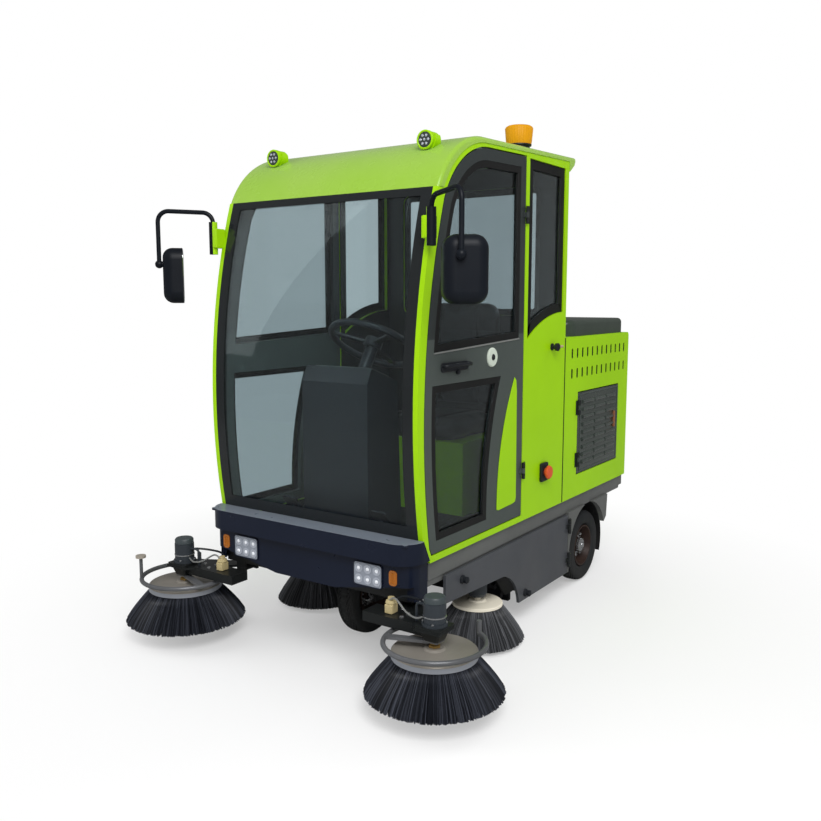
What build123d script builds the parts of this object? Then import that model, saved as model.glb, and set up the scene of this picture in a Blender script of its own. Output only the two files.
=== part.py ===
from build123d import *
from math import atan2, cos, hypot, radians, sin
import os

# Floor sweeper with a closed cab. Millimetres, +Z up, front faces -Y, left side is +X,
# the origin lies on the floor under the middle of the outline.

# Overall sizes
LENGTH = 2380.0
CAB_W = 1020.0
FRONT = -LENGTH / 2
REAR = LENGTH / 2
HALF = CAB_W / 2

# Front brushes
BRUSH_R = 250.0
BRUSH_X = HALF + 121.0
BRUSH_Y = FRONT + BRUSH_R
BRUSH_TIP_Z = 74.0
BRUSH_DISC_R = 151.0
BRUSH_DISC_T = 22.0
TUFTS = 36
TUFT_ARC = 8.2
TIP_EDGE = 10.0

# Middle brushes
MID_R = 200.0
MID_X = HALF - 78.0
MID_DISC_R = 105.0
MID_DISC_Z = 165.0
MID_DISC_T = 12.0
MID_SHAFT = 24.0
MID_TIP_Z = 14.0

# Lengthwise stations: the cab and the box keep their share of the length
BUMPER_Y = BRUSH_Y + 20.0
GLASS_Y0 = BUMPER_Y + 89.0
GLASS_Y1 = GLASS_Y0 + 90.0
SILL_Y = GLASS_Y0 + 47.0
CAB_LEN = 0.4958 * LENGTH
FRONT_AXLE_Y = GLASS_Y0 + 0.2975 * CAB_LEN
MID_Y = GLASS_Y0 + 0.45 * CAB_LEN
DOOR_REAR_Y = GLASS_Y0 + 0.6475 * CAB_LEN
CAB_REAR_Y = GLASS_Y0 + CAB_LEN
LAMP_PROUD = 8.0
TAIL_Y = REAR - 25.0
BOX_LEN = TAIL_Y - CAB_REAR_Y
REAR_AXLE_Y = CAB_REAR_Y + 0.3934 * BOX_LEN

# Heights
TYRE_R = 178.0
DECK_Z = 2 * TYRE_R + 110.0
DECK_T = 20.0
RAIL_H = 60.0
RAIL_TOP = DECK_Z - DECK_T
RAIL_Z = RAIL_TOP - RAIL_H
GLASS_Z0 = DECK_Z + 94.0
GLASS_Z1 = 1807.0
ROOF_Z = 2020.0
ROOF_SLOPE = 0.036
BOX_TOP = 1241.0

# Cab shell
GLASS_BULGE = 74.0
GLASS_T = 6.0
SEAT_GAP = 0.3
WALL_T = 40.0
SKIN_T = 20.0
ROOF_RUN = 330.0
ROOF_CROWN = 58.0
ROOF_T = 20.0
ROOF_SET = 26.0
ROOF_LIP = 57.0
ROOF_HALF = HALF + 3.0
ROOF_ROUND = 14.0
PILLAR = 45.0
HEADER = 38.0
SILL_H = 30.0
DOOR_GAP = 5.0
DOOR_FRAME = 44.0
DOOR_T = 34.0
WAIST_Z = 1240.0
WAIST_FRONT = 1226.0
WAIST_REAR = 1260.0

# Rails and beams
RAIL_X = HALF - 250.0
RAIL_W = 50.0
BEAM_Y0 = BUMPER_Y + 75.0
BEAM_Y1 = BEAM_Y0 + 80.0
BEAM_Z = RAIL_Z - 60.0
DECK_HALF = HALF - 22.0

# Wheels
TYRE_W = 86.0
BEAD_R = TYRE_R - 74.0
TRACK_X = HALF - 58.0
AXLE_R = 15.0
RUN_FIT = 0.3

# Arm hinges of the front brushes
ARM_X = HALF - 115.0
ARM_Z = BEAM_Z - 26.0
ARM_T = 10.0
BRUSH_DISC_Z = ARM_Z - 76.0
ARM_PIN_R = 8.0
ARM_BARREL_R = 16.0
BAR_H = 37.0
BAR_Y0 = BRUSH_Y - 18.0
BAR_Y1 = BRUSH_Y + 70.0
BAR_IN = 62.0
MOTOR_R = 40.0
MOTOR_TOP = ARM_Z + 115.0
BRACKET_Z = ARM_Z - 46.0
FLANGE_Z = ARM_Z + 4.0
FLANGE_T = 9.0
GUARD_R = 178.0
GUARD_TUBE_R = 9.0
GUARD_Z = ARM_Z - 49.0

# Barrel hinges of the doors and panels
HINGE_OUT = 9.0
KNUCKLE_R = 7.5
PIN_R = 3.5
LEAF_T = 3.0
LEAF_W = 26.0
HINGE_H = 70.0

# Rear box
BOX_T = 24.0
LOUVRE_Y0 = CAB_REAR_Y + 163.0
LOUVRE_Y1 = TAIL_Y - 135.0
LOUVRE_Z0 = 577.0
LOUVRE_Z1 = 971.0
LOUVRE_ROWS = 9
LOUVRE_COLUMNS = 3
VENTS = 12
VENT_ROWS = (1068.0, 1163.0)
LID_HALF = HALF - 14.0
LID_Y0 = CAB_REAR_Y + 88.0
LID_Y1 = TAIL_Y - 30.0
LID_H = 76.0
LID_T = 6.0
LID_HINGE_Z = BOX_TOP + 12.0
GATE_Z0 = DECK_Z + 20.0
GATE_Z1 = 1205.0
GATE_GAP = 6.0
TAIL_ROUND = 20.0

# Skirts and access panels
SKIRT_TOP = DECK_Z
CREASE_Z = DECK_Z - 70.0
PANEL_X = HALF - 10.0
PANEL_T = 12.0
PANEL_Y0 = SILL_Y + 106.0
ARCH_R = TYRE_R + 48.0
PANEL_Y1 = REAR_AXLE_Y - ARCH_R - 20.0
PANEL_Z0 = 104.0

# Roller
ROLLER_Y = CAB_REAR_Y - 180.0
ROLLER_R = TYRE_R - 28.0
ROLLER_TIP_Z = 6.0
ROLLER_HALF = HALF - 175.0

# Steering
WHEEL_Y = FRONT_AXLE_Y + 40.0
WHEEL_Z = 1230.0
WHEEL_TILT = 32.0
STEER_R = 20.0


def block(x0, x1, y0, y1, z0, z1):
    """Box between two corners"""
    middle = Pos((x0 + x1) / 2, (y0 + y1) / 2, (z0 + z1) / 2)
    return middle * Box(x1 - x0, y1 - y0, z1 - z0)


def rod(start, end, radius):
    """Round bar from one point to another"""
    start, end = Vector(*start), Vector(*end)
    way = end - start
    return extrude(Plane(origin=start, z_dir=way) * Circle(radius), amount=way.length)


def polygon(*points):
    """Flat face with straight sides"""
    return make_face(Polyline(*points, close=True))


def from_side(face, x0, x1):
    """Face drawn as (Y, Z), pulled from x0 to x1"""
    return extrude(Plane.YZ.offset(x0) * face, amount=x1 - x0)


def from_front(face, y0, y1):
    """Face drawn as (X, Z), pulled from y0 to y1"""
    return extrude(Plane.XZ.offset(-y1) * face, amount=y1 - y0)


def from_top(face, z0, z1):
    """Face drawn as (X, Y), pulled from z0 to z1"""
    return extrude(Pos(0, 0, z0) * face, amount=z1 - z0)


def other_side(shape):
    """The same piece on the right-hand side"""
    return mirror(shape, about=Plane.YZ)


def both(shape):
    """The piece and its mirror image, in one node"""
    return shape + other_side(shape)


def turned(face):
    """Face drawn as (radius, Z), turned round the Z axis"""
    return revolve(Plane.XZ * face, axis=Axis.Z)


def bowed(start, end, sag):
    """Arc between two points that bows to the left of the way by sag"""
    (a, b), (c, d) = start, end
    run = hypot(c - a, d - b)
    middle = ((a + c) / 2 - (d - b) / run * sag, (b + d) / 2 + (c - a) / run * sag)
    return ThreePointArc(start, middle, end)


def hinge(plane):
    """Fixed half and moving half of a barrel hinge. In its plane the skin is at x = 0,
    the pin stands along z, the fixed leaf reaches to +y and the moving one to -y."""
    third = HINGE_H / 3
    barrel = Pos(HINGE_OUT, 0, 0) * Cylinder(KNUCKLE_R, third)
    hole = Pos(HINGE_OUT, 0, 0) * Cylinder(PIN_R + RUN_FIT, HINGE_H)
    neck = block(0, HINGE_OUT, 3.0, KNUCKLE_R, -third / 2, third / 2)
    leaf = block(0, LEAF_T, 6.5, LEAF_W, -HINGE_H / 2, HINGE_H / 2)
    fixed = leaf + Pos(HINGE_OUT, 0, 0) * Cylinder(PIN_R, HINGE_H)
    for level in (-third, third):
        fixed += Pos(0, 0, level) * (barrel + neck)
    tongue = block(0, LEAF_T, -LEAF_W, -6.5, -third / 2 + 1, third / 2 - 1)
    moving_barrel = Pos(HINGE_OUT, 0, 0) * Cylinder(KNUCKLE_R, third - 2)
    moving_neck = block(0, HINGE_OUT, -KNUCKLE_R, -3.0, -third / 2 + 1, third / 2 - 1)
    moving = tongue + moving_barrel + moving_neck - hole
    return plane.location * fixed, plane.location * moving


def hinge_pair(x, y, levels, y_way):
    """Both halves of two upright hinges on the left side; the fixed leaf reaches to y_way"""
    fixed, moving = None, None
    for level in levels:
        place = Plane(origin=(x, y, level), x_dir=(1, 0, 0), z_dir=(0, 0, y_way))
        still, swing = hinge(place)
        fixed = still if fixed is None else fixed + still
        moving = swing if moving is None else moving + swing
    return fixed, moving


# Cab shell


def roof_height(y):
    """Height of the roof's upper skin behind its crown"""
    return ROOF_Z + ROOF_SLOPE * (y - GLASS_Y1 - ROOF_RUN)


def cab_profile():
    """Side view of the whole cab, roof included"""
    sill = (SILL_Y, DECK_Z)
    low, high = (GLASS_Y0, GLASS_Z0), (GLASS_Y1, GLASS_Z1)
    crown = (GLASS_Y1 + ROOF_RUN, ROOF_Z)
    back = (CAB_REAR_Y, roof_height(CAB_REAR_Y))
    return make_face([
        Line(sill, low),
        bowed(low, high, GLASS_BULGE),
        bowed(high, crown, ROOF_CROWN),
        Line(crown, back),
        Line(back, (CAB_REAR_Y, DECK_Z)),
        Line((CAB_REAR_Y, DECK_Z), sill),
    ])


def roof_block():
    """Roof plate with square long edges"""
    high = (GLASS_Y1, GLASS_Z1)
    crown = (GLASS_Y1 + ROOF_RUN, ROOF_Z)
    end = CAB_REAR_Y + ROOF_LIP
    back = (end, roof_height(end))
    top = make_face([
        bowed(high, crown, ROOF_CROWN),
        Line(crown, back),
        Line(back, (end, GLASS_Z1)),
        Line((end, GLASS_Z1), high),
    ])
    plate = top - Pos(ROOF_SET, -ROOF_T) * top
    low = roof_height(end) - ROOF_T
    wall = CAB_REAR_Y + SEAT_GAP
    lip = polygon(
        (wall, low + 4), (end, low + 4), (end - 8, low - 14), (wall + 5, low - 46), (wall, low - 46),
    )
    return from_side(plate + lip, -ROOF_HALF, ROOF_HALF)


def glass_band(thickness, z0, z1):
    """Side view of the windscreen between two heights"""
    profile = cab_profile()
    band = profile - Pos(thickness, 0) * profile
    reach = 2 * PILLAR + GLASS_BULGE
    window = polygon(
        (GLASS_Y0 - reach, z0),
        (GLASS_Y1 + reach, z0),
        (GLASS_Y1 + reach, z1),
        (GLASS_Y0 - reach, z1),
    )
    return band & window


def windscreen():
    inset = HALF - SKIN_T - SEAT_GAP
    return from_side(glass_band(GLASS_T, GLASS_Z0, GLASS_Z1 - SEAT_GAP), -inset, inset)


def door_face():
    """Side view of a cab door"""
    rear = DOOR_REAR_Y - DOOR_GAP
    frame = polygon(
        (FRONT, DECK_Z + SILL_H),
        (rear, DECK_Z + SILL_H),
        (rear, ROOF_Z + HEADER * 2),
        (FRONT, ROOF_Z + HEADER * 2),
    )
    return (Pos(PILLAR, -HEADER) * cab_profile()) & frame


def quarter_face():
    """Side view of the fixed window behind a door"""
    front, rear = DOOR_REAR_Y + 29.0, CAB_REAR_Y - 34.0
    low_front, low_rear = 1246.0, 1359.0
    top = roof_height(front) - ROOF_T - 22.0
    return make_face([
        Line((front, low_front), (front, top)),
        Line((front, top), (rear, top)),
        Line((rear, top), (rear, low_rear)),
        bowed((rear, low_rear), (front, low_front), -26.0),
    ])


def cab_side():
    """Left cab wall with its doorway and quarter window, and the fixed door hinge halves"""
    wall = from_side(cab_profile(), HALF - WALL_T, HALF) - roof_block()
    rebate = glass_band(GLASS_T + SEAT_GAP, DECK_Z, GLASS_Z1 + ROOF_T)
    wall -= from_side(rebate, HALF - WALL_T, HALF - SKIN_T)
    wall -= from_side(offset(door_face(), DOOR_GAP), HALF - WALL_T, HALF)
    wall -= from_side(quarter_face(), HALF - WALL_T, HALF)
    fixed, moving = door_hinges()
    return wall + fixed


def door_hinges():
    return hinge_pair(HALF, DOOR_REAR_Y - DOOR_GAP / 2, (690.0, 1760.0), 1)


def door_windows():
    """Upper and lower window openings of a door"""
    inside = offset(door_face(), -DOOR_FRAME)
    above = polygon(
        (GLASS_Y0, WAIST_FRONT),
        (DOOR_REAR_Y, WAIST_REAR),
        (DOOR_REAR_Y, ROOF_Z),
        (GLASS_Y0, ROOF_Z),
    )
    low_z, high_z = DECK_Z + SILL_H + DOOR_FRAME, WAIST_Z - 130.0
    low_y, high_y = SILL_Y + 411.0, SILL_Y + 518.0
    below = make_face([
        Line((FRONT, low_z), (low_y, low_z)),
        bowed((low_y, low_z), (high_y, high_z), 30.0),
        Line((high_y, high_z), (FRONT, high_z)),
        Line((FRONT, high_z), (FRONT, low_z)),
    ])
    return inside & above, inside & below


def cab_door():
    """Left cab door frame with its moving hinge halves"""
    leaf = from_side(door_face(), HALF - DOOR_T, HALF)
    for opening in door_windows():
        leaf -= from_side(opening, HALF - DOOR_T, HALF)
    fixed, moving = door_hinges()
    return leaf + moving


def pane(opening, x0, x1):
    """Glass that fills an opening with a seating gap all round"""
    return from_side(offset(opening, -SEAT_GAP), x0, x1)


def cab_door_glass():
    x0 = HALF - DOOR_T / 2
    upper, lower = door_windows()
    return pane(upper, x0, x0 + GLASS_T) + pane(lower, x0, x0 + GLASS_T)


REAR_WINDOW = (-HALF + 130.0, HALF - 130.0, 1340.0, 1930.0)


def rear_window_face(inset):
    x0, x1, z0, z1 = REAR_WINDOW
    return Pos((x0 + x1) / 2, (z0 + z1) / 2) * RectangleRounded(
        x1 - x0 - 2 * inset, z1 - z0 - 2 * inset, 40.0 - inset
    )


def cab_rear_wall():
    """Wall behind the seat, up to the roof"""
    inner = HALF - WALL_T
    wall = block(-inner, inner, CAB_REAR_Y - BOX_T, CAB_REAR_Y, DECK_Z, ROOF_Z + HEADER)
    above = block(
        -HALF, HALF, CAB_REAR_Y - HALF, CAB_REAR_Y + HALF, GLASS_Z1, ROOF_Z + 4 * HEADER
    )
    under = from_side(cab_profile(), -HALF, HALF) - roof_block()
    wall = (wall - above) + ((wall & above) & under)
    return wall - from_front(rear_window_face(0), CAB_REAR_Y - BOX_T, CAB_REAR_Y)


def fixed_windows():
    """Both quarter windows and the rear window"""
    x0 = HALF - WALL_T / 2
    quarter = pane(quarter_face(), x0, x0 + GLASS_T)
    y0 = CAB_REAR_Y - BOX_T / 2
    return both(quarter) + from_front(rear_window_face(SEAT_GAP), y0, y0 + GLASS_T)


def roof_panel():
    """Roof with rounded long edges"""
    roof = roof_block()
    end = CAB_REAR_Y + ROOF_LIP
    long_edges = [
        edge for edge in roof.edges()
        if abs(abs((edge @ 0.5).X) - ROOF_HALF) < 0.01 and on_upper_skin(edge @ 0.5, end)
    ]
    return fillet(long_edges, ROOF_ROUND)


def on_upper_skin(point, end):
    """Whether a point of a roof edge lies on the outside of the roof"""
    crown_y = GLASS_Y1 + ROOF_RUN
    if point.Y > end - 1.0 or point.Z < GLASS_Z1 + 1.0:
        return False
    if point.Y > crown_y:
        return point.Z > roof_height(point.Y) - ROOF_T / 2
    chord = (ROOF_Z - GLASS_Z1) / ROOF_RUN
    above = point.Z - GLASS_Z1 - chord * (point.Y - GLASS_Y1)
    return above * cos(atan2(ROOF_Z - GLASS_Z1, ROOF_RUN)) > ROOF_CROWN - ROOF_T / 2


# Front end


LIP_HALF = HALF + 5.0
LIP_Z = DECK_Z + 12.0
LIP_TOP = GLASS_Z0 - 1.0
LIP_T = 30.0
CHIN_SET = 27.0
CHIN_T = 25.0
CHIN_HALF = HALF - 10.0
CHIN_LOW = DECK_Z - 136.0
CHIN_END = DECK_Z - 74.0
HEADLAMP = (HALF - 200.0, DECK_Z - 49.0, 130.0, 88.0)
TURN_LAMP = (HALF - 87.0, DECK_Z - 42.0, 34.0, 56.0)
CHIN_BEND = HALF - 70.0
LAMP_DEPTH = 45.0
LAMP_OUT = 3.0


def channel(half, front, rear, wall, corner):
    """Plan of a strip that runs across the front and back along both sides"""
    depth = rear - front
    outer = Pos(0, front + depth) * RectangleRounded(2 * half, 2 * depth, corner)
    inner = Pos(0, front + depth + wall) * RectangleRounded(
        2 * (half - wall), 2 * depth, corner - wall
    )
    keep = Pos(0, front + depth / 2) * Rectangle(2 * half, depth)
    return (outer - inner) & keep


def lamp_block(lamp, y0, y1, grow):
    """Lamp body on the left side of the bumper"""
    x, z, wide, high = lamp
    face = Pos(x, z) * RectangleRounded(wide + 2 * grow, high + 2 * grow, 12.0 + grow)
    return from_front(face, y0, y1)


def front_bumper():
    """Bumper lip, chin below it and the shelf that meets the windscreen"""
    chin_y = BUMPER_Y + CHIN_SET
    body = from_top(channel(LIP_HALF, BUMPER_Y, SILL_Y - 2.0, LIP_T, 90.0), LIP_Z, LIP_TOP)
    body += from_top(
        channel(CHIN_HALF, chin_y, SILL_Y - 2.0, CHIN_T, 60.0), CHIN_LOW + 8.0, LIP_Z
    )
    shelf = block(-HALF + 20.0, HALF - 20.0, BUMPER_Y + 12.0, SILL_Y, LIP_TOP - 10.0, LIP_TOP)
    body += shelf
    below = polygon(
        (-HALF * 2, CHIN_END + 6.0),
        (-CHIN_BEND, CHIN_END),
        (-150.0, CHIN_LOW + 8.0),
        (150.0, CHIN_LOW + 8.0),
        (CHIN_BEND, CHIN_END),
        (HALF * 2, CHIN_END + 6.0),
        (HALF * 2, 0.0),
        (-HALF * 2, 0.0),
    )
    body -= from_front(below, FRONT, chin_y + CHIN_T + 8.0)
    cab = Pos(-1.0, 0) * cab_profile()
    body -= from_side(cab, -LIP_HALF - 1.0, LIP_HALF + 1.0)
    for lamp in (HEADLAMP, TURN_LAMP):
        pocket = lamp_block(lamp, chin_y - 1.0, chin_y + CHIN_T + 1.0, SEAT_GAP)
        body -= both(pocket)
    return body


def bumper_lamp(lamp):
    chin_y = BUMPER_Y + CHIN_SET
    return both(lamp_block(lamp, chin_y - LAMP_OUT, chin_y - LAMP_OUT + LAMP_DEPTH, 0))


# Chassis


def chassis_frame():
    """Rails, cross members, steering head, front beam and the lugs of the brush arms"""
    inner, outer = RAIL_X - RAIL_W / 2, RAIL_X + RAIL_W / 2
    rail = block(inner, outer, BEAM_Y0, TAIL_Y - 45.0, RAIL_Z, RAIL_TOP)
    frame = both(rail)
    nose = BUMPER_Y + CHIN_SET + CHIN_T
    frame += both(block(100.0, 160.0, nose, BEAM_Y0, RAIL_Z - 41.0, RAIL_Z))
    for middle in (SILL_Y + 90.0, CAB_REAR_Y - 500.0, CAB_REAR_Y + 40.0, TAIL_Y - 70.0):
        y0, y1 = middle - 20.0, middle + 20.0
        frame += block(-DECK_HALF, DECK_HALF, y0, y1, RAIL_Z + 14.0, RAIL_TOP)
    head = block(-inner, inner, FRONT_AXLE_Y - 60, FRONT_AXLE_Y + 60, RAIL_Z, RAIL_TOP)
    head -= rod((0, FRONT_AXLE_Y, RAIL_Z - 1), (0, FRONT_AXLE_Y, RAIL_TOP + 1), STEER_R + RUN_FIT)
    frame += head
    frame += block(-HALF + 40.0, HALF - 40.0, BEAM_Y0, BEAM_Y1, BEAM_Z, RAIL_Z)
    lug_low = ARM_Z - ARM_BARREL_R
    for y0 in (BEAM_Y0, BEAM_Y1 - 12.0):
        lug = block(ARM_X - 24, ARM_X + 24, y0, y0 + 12.0, lug_low, BEAM_Z)
        frame += both(lug)
    frame += both(rod((ARM_X, BEAM_Y0, ARM_Z), (ARM_X, BEAM_Y1, ARM_Z), ARM_PIN_R))
    return frame


def deck():
    return block(-DECK_HALF, DECK_HALF, SILL_Y + 4.0, TAIL_Y - 25.0, RAIL_TOP, DECK_Z)


def rear_axle():
    """Dead axle with the two hangers that carry it"""
    half = TRACK_X + TYRE_W / 2 - 12.0
    axle = rod((-half, REAR_AXLE_Y, TYRE_R), (half, REAR_AXLE_Y, TYRE_R), AXLE_R)
    hanger = from_side(
        polygon(
            (REAR_AXLE_Y - 90, RAIL_Z),
            (REAR_AXLE_Y - 32, TYRE_R - 30),
            (REAR_AXLE_Y + 32, TYRE_R - 30),
            (REAR_AXLE_Y + 90, RAIL_Z),
        ),
        RAIL_X - 20, RAIL_X + 20,
    )
    stop = rod((RAIL_X + 20, REAR_AXLE_Y, TYRE_R), (TRACK_X - 40, REAR_AXLE_Y, TYRE_R), 26.0)
    return axle + both(hanger) + both(stop)


# Wheels


def tyre(x, y):
    section = Pos(0, (TYRE_R + BEAD_R) / 2) * RectangleRounded(TYRE_W, TYRE_R - BEAD_R, 26.0)
    return Pos(x, y, TYRE_R) * revolve(Plane.XZ * section, axis=Axis.X)


def rim(x, y, outward):
    """Dished rim: barrel, web set inwards, hub with a running bore"""
    half = TYRE_W / 2 - 8.0
    bore = AXLE_R + RUN_FIT
    profile = polygon(
        (-half, BEAD_R - 0.4),
        (-half, BEAD_R - 12.0),
        (-20.0, BEAD_R - 20.0),
        (-20.0, 44.0),
        (-36.0, 38.0),
        (-36.0, bore),
        (26.0, bore),
        (26.0, 32.0),
        (-8.0, 38.0),
        (-10.0, BEAD_R - 24.0),
        (half, BEAD_R - 8.0),
        (half, BEAD_R - 0.4),
    )
    solid = revolve(Plane.XZ * profile, axis=Axis.X)
    if outward < 0:
        solid = other_side(solid)
    return Pos(x, y, TYRE_R) * solid


def steering_fork():
    """Fork of the single front wheel, its stub axle and the steering post"""
    leg_x = TYRE_W / 2 + 9.0
    top = TYRE_R * 2 + 7.0
    post_top = RAIL_TOP - 4.0
    leg = block(leg_x, leg_x + 12, -38, 38, TYRE_R - 30, top + 12)
    fork = both(leg) + block(-leg_x - 12, leg_x + 12, -38, 38, top, top + 12)
    fork += rod((0, 0, top + 12), (0, 0, RAIL_Z - 0.5), 36.0)
    fork += rod((0, 0, top + 12), (0, 0, post_top), STEER_R)
    fork += rod((-leg_x - 16, 0, TYRE_R), (leg_x + 16, 0, TYRE_R), AXLE_R)
    return Pos(0, FRONT_AXLE_Y, 0) * fork


# Brushes


def skirt_profile(disc_r, tip_r, top, tip_z):
    """Half section of a ring of bristles, drawn as (radius, Z)"""
    root_in, root_out = disc_r * 0.62, disc_r - 3.0
    tip_in = tip_r - 72.0
    return make_face([
        Line((root_in, top), (root_out, top)),
        bowed((root_out, top), (tip_r, tip_z + TIP_EDGE), 5.0),
        Line((tip_r, tip_z + TIP_EDGE), (tip_r - 5.0, tip_z)),
        Line((tip_r - 5.0, tip_z), (tip_in, tip_z)),
        Line((tip_in, tip_z), (root_in, top)),
    ])


def bristles(x, y, disc_r, tip_r, top, tip_z):
    """Tufts round a brush disc, joined by a ring under the disc"""
    section = Plane.XZ * skirt_profile(disc_r, tip_r, top, tip_z)
    tuft = revolve(section, axis=Axis.Z, revolution_arc=TUFT_ARC)
    ring = turned(Pos((disc_r * 1.6 - 3) / 2, top - 6.0) * Rectangle(disc_r * 0.34, 12.0))
    tufts = [Rot(0, 0, 360.0 / TUFTS * n) * tuft for n in range(TUFTS)]
    return Pos(x, y, 0) * (ring + tufts)


def brush_disc(x, y, disc_r, disc_z, disc_t, shaft_top):
    """Brush plate with its hub and drive shaft"""
    profile = polygon(
        (0, disc_z - disc_t),
        (disc_r, disc_z - disc_t),
        (disc_r, disc_z - 3.0),
        (disc_r - 3.0, disc_z),
        (40.0, disc_z + 3.0),
        (32.0, disc_z + 9.0),
        (14.0, disc_z + 9.0),
        (14.0, shaft_top),
        (0, shaft_top),
    )
    return Pos(x, y, 0) * turned(profile)


def mid_motor():
    """Left middle brush motor with the bracket that hangs it from the rail"""
    low, seat = MID_DISC_Z + MID_SHAFT, RAIL_Z - 86.0
    drive = turned(polygon((0, low), (34, low), (40, low + 12), (40, seat), (0, seat)))
    arm = block(RAIL_X - 25, MID_X + 46, MID_Y - 46, MID_Y + 46, seat, seat + 10)
    web = block(RAIL_X - 25, RAIL_X + 25, MID_Y - 46, MID_Y + 46, seat, RAIL_Z)
    return Pos(MID_X, MID_Y, 0) * drive + arm + web


def brush_arm(side):
    """Arm on side 1 (left) or -1: hinge barrel, plate, bar, gearbox housing and guard ring"""
    y0, y1 = BEAM_Y0 + 12.5, BEAM_Y1 - 12.5
    barrel = rod((ARM_X, y0, ARM_Z), (ARM_X, y1, ARM_Z), ARM_BARREL_R)
    low, high = ARM_Z - ARM_T / 2, ARM_Z + ARM_T / 2
    plate = polygon(
        (ARM_X + 4, y0),
        (ARM_X + 4, y1),
        (ARM_X + 60, y1),
        (BRUSH_X + 52, BRUSH_Y + 44),
        (BRUSH_X + 52, BRUSH_Y - 52),
        (BRUSH_X - 52, BRUSH_Y - 52),
        (ARM_X + 34, y0),
    )
    arm = from_top(plate, low, high) + barrel
    arm += block(ARM_X - BAR_IN, BRUSH_X, BAR_Y0, BAR_Y1, high - BAR_H, high)
    arm += loft([
        Pos(BRUSH_X, BRUSH_Y, BRACKET_Z) * RectangleRounded(54, 54, 8),
        Pos(BRUSH_X, BRUSH_Y, FLANGE_Z) * RectangleRounded(86, 86, 8),
    ])
    flange = Pos(BRUSH_X, BRUSH_Y) * RectangleRounded(102, 102, 8)
    arm += from_top(flange, FLANGE_Z, FLANGE_Z + FLANGE_T)
    arm -= rod((ARM_X, y0 - 1, ARM_Z), (ARM_X, y1 + 1, ARM_Z), ARM_PIN_R + RUN_FIT)
    if side < 0:
        arm = other_side(arm)
    return arm + guard_ring(side)


GUARD_FROM = -210.0
GUARD_ARC = 271.0
GUARD_STAY = -160.0
GUARD_HOOK = 46.0
GUARD_POST = -130.0
POST_H = 92.0
POST_R = 7.0


def capped_post():
    """Thin post on the guard tube with a round cap"""
    a = radians(GUARD_POST)
    x, y, top = GUARD_R * cos(a), GUARD_R * sin(a), GUARD_Z + POST_H
    return rod((x, y, GUARD_Z), (x, y, top), POST_R) + rod((x, y, top), (x, y, top + 10.0), 3 * POST_R)


def guard_ring(side):
    """Tube round the front and outside of a brush, its stay and upturned ends; a capped post
    stands on the right-hand one"""
    start = GUARD_FROM if side > 0 else 180.0 - GUARD_FROM - GUARD_ARC
    section = Plane.XZ * (Pos(GUARD_R, GUARD_Z) * Circle(GUARD_TUBE_R))
    tube = Rot(0, 0, start) * revolve(section, axis=Axis.Z, revolution_arc=GUARD_ARC)
    inner, outer = (start, start + GUARD_ARC) if side > 0 else (start + GUARD_ARC, start)
    for angle, top in ((inner, ARM_Z), (outer, GUARD_Z + GUARD_HOOK)):
        x, y = GUARD_R * cos(radians(angle)), GUARD_R * sin(radians(angle))
        tube += rod((x, y, GUARD_Z), (x, y, top), GUARD_TUBE_R)
        tube += Pos(x, y, GUARD_Z) * Sphere(GUARD_TUBE_R)
    if side < 0:
        tube += capped_post()
    stay_angle = GUARD_STAY if side > 0 else 180.0 - GUARD_STAY
    stay = block(20, GUARD_R, -14, 14, GUARD_Z - 3, GUARD_Z + 7)
    tube += Rot(0, 0, stay_angle) * stay
    return Pos(side * BRUSH_X, BRUSH_Y, 0) * tube


def brush_motor():
    """Left brush motor with its cap and the lead down to the arm"""
    seat = FLANGE_Z + FLANGE_T
    body = turned(polygon(
        (0, seat), (MOTOR_R + 6, seat), (MOTOR_R + 6, seat + 10), (MOTOR_R, seat + 10),
        (MOTOR_R, MOTOR_TOP - 22), (MOTOR_R - 4, MOTOR_TOP - 20), (MOTOR_R - 4, MOTOR_TOP - 4),
        (MOTOR_R - 8, MOTOR_TOP), (0, MOTOR_TOP),
    ))
    route = FilletPolyline(
        (-MOTOR_R + 8, 0, MOTOR_TOP - 40),
        (-MOTOR_R - 40, 8, MOTOR_TOP - 40),
        (-MOTOR_R - 40, 8, ARM_Z + ARM_T / 2),
        radius=18.0,
    )
    lead = sweep(Plane(origin=route @ 0, z_dir=route % 0) * Circle(5.0), path=route)
    return Pos(BRUSH_X, BRUSH_Y, 0) * (body + lead)


def roller_brush():
    """Full-width roller: shaft, core and straight rows of bristles"""
    core_r, rows = 62.0, 10
    shaft_half = ROLLER_HALF + 32.0
    roll = rod((-shaft_half, 0, 0), (shaft_half, 0, 0), AXLE_R)
    roll += rod((-ROLLER_HALF, 0, 0), (ROLLER_HALF, 0, 0), core_r)
    for n in range(rows):
        row = block(-ROLLER_HALF, ROLLER_HALF, -13, 13, core_r - 6, ROLLER_R)
        roll += Rot(360.0 / rows * n, 0, 0) * row
    return Pos(0, ROLLER_Y, ROLLER_R + ROLLER_TIP_Z) * roll


def roller_housing():
    """Side cheeks that carry the roller, cover over it and hangers to the rails"""
    cheek_x = ROLLER_HALF + 14.0
    axis_z = ROLLER_R + ROLLER_TIP_Z
    y0, y1 = ROLLER_Y - 175.0, ROLLER_Y + 175.0
    top = axis_z + ROLLER_R + 22.0
    cheek = from_side(
        polygon((y0, top), (y0, axis_z), (y0 + 90, 60), (y1 - 90, 60), (y1, axis_z), (y1, top)),
        cheek_x, cheek_x + 10,
    )
    cheek -= rod(
        (cheek_x - 1, ROLLER_Y, axis_z), (cheek_x + 11, ROLLER_Y, axis_z), AXLE_R + RUN_FIT
    )
    cover = block(-cheek_x - 10, cheek_x + 10, y0, y1, top, top + 8)
    hanger = block(RAIL_X - 25, RAIL_X + 25, ROLLER_Y - 40, ROLLER_Y + 40, top + 8, RAIL_Z)
    return both(cheek) + cover + both(hanger)


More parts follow.
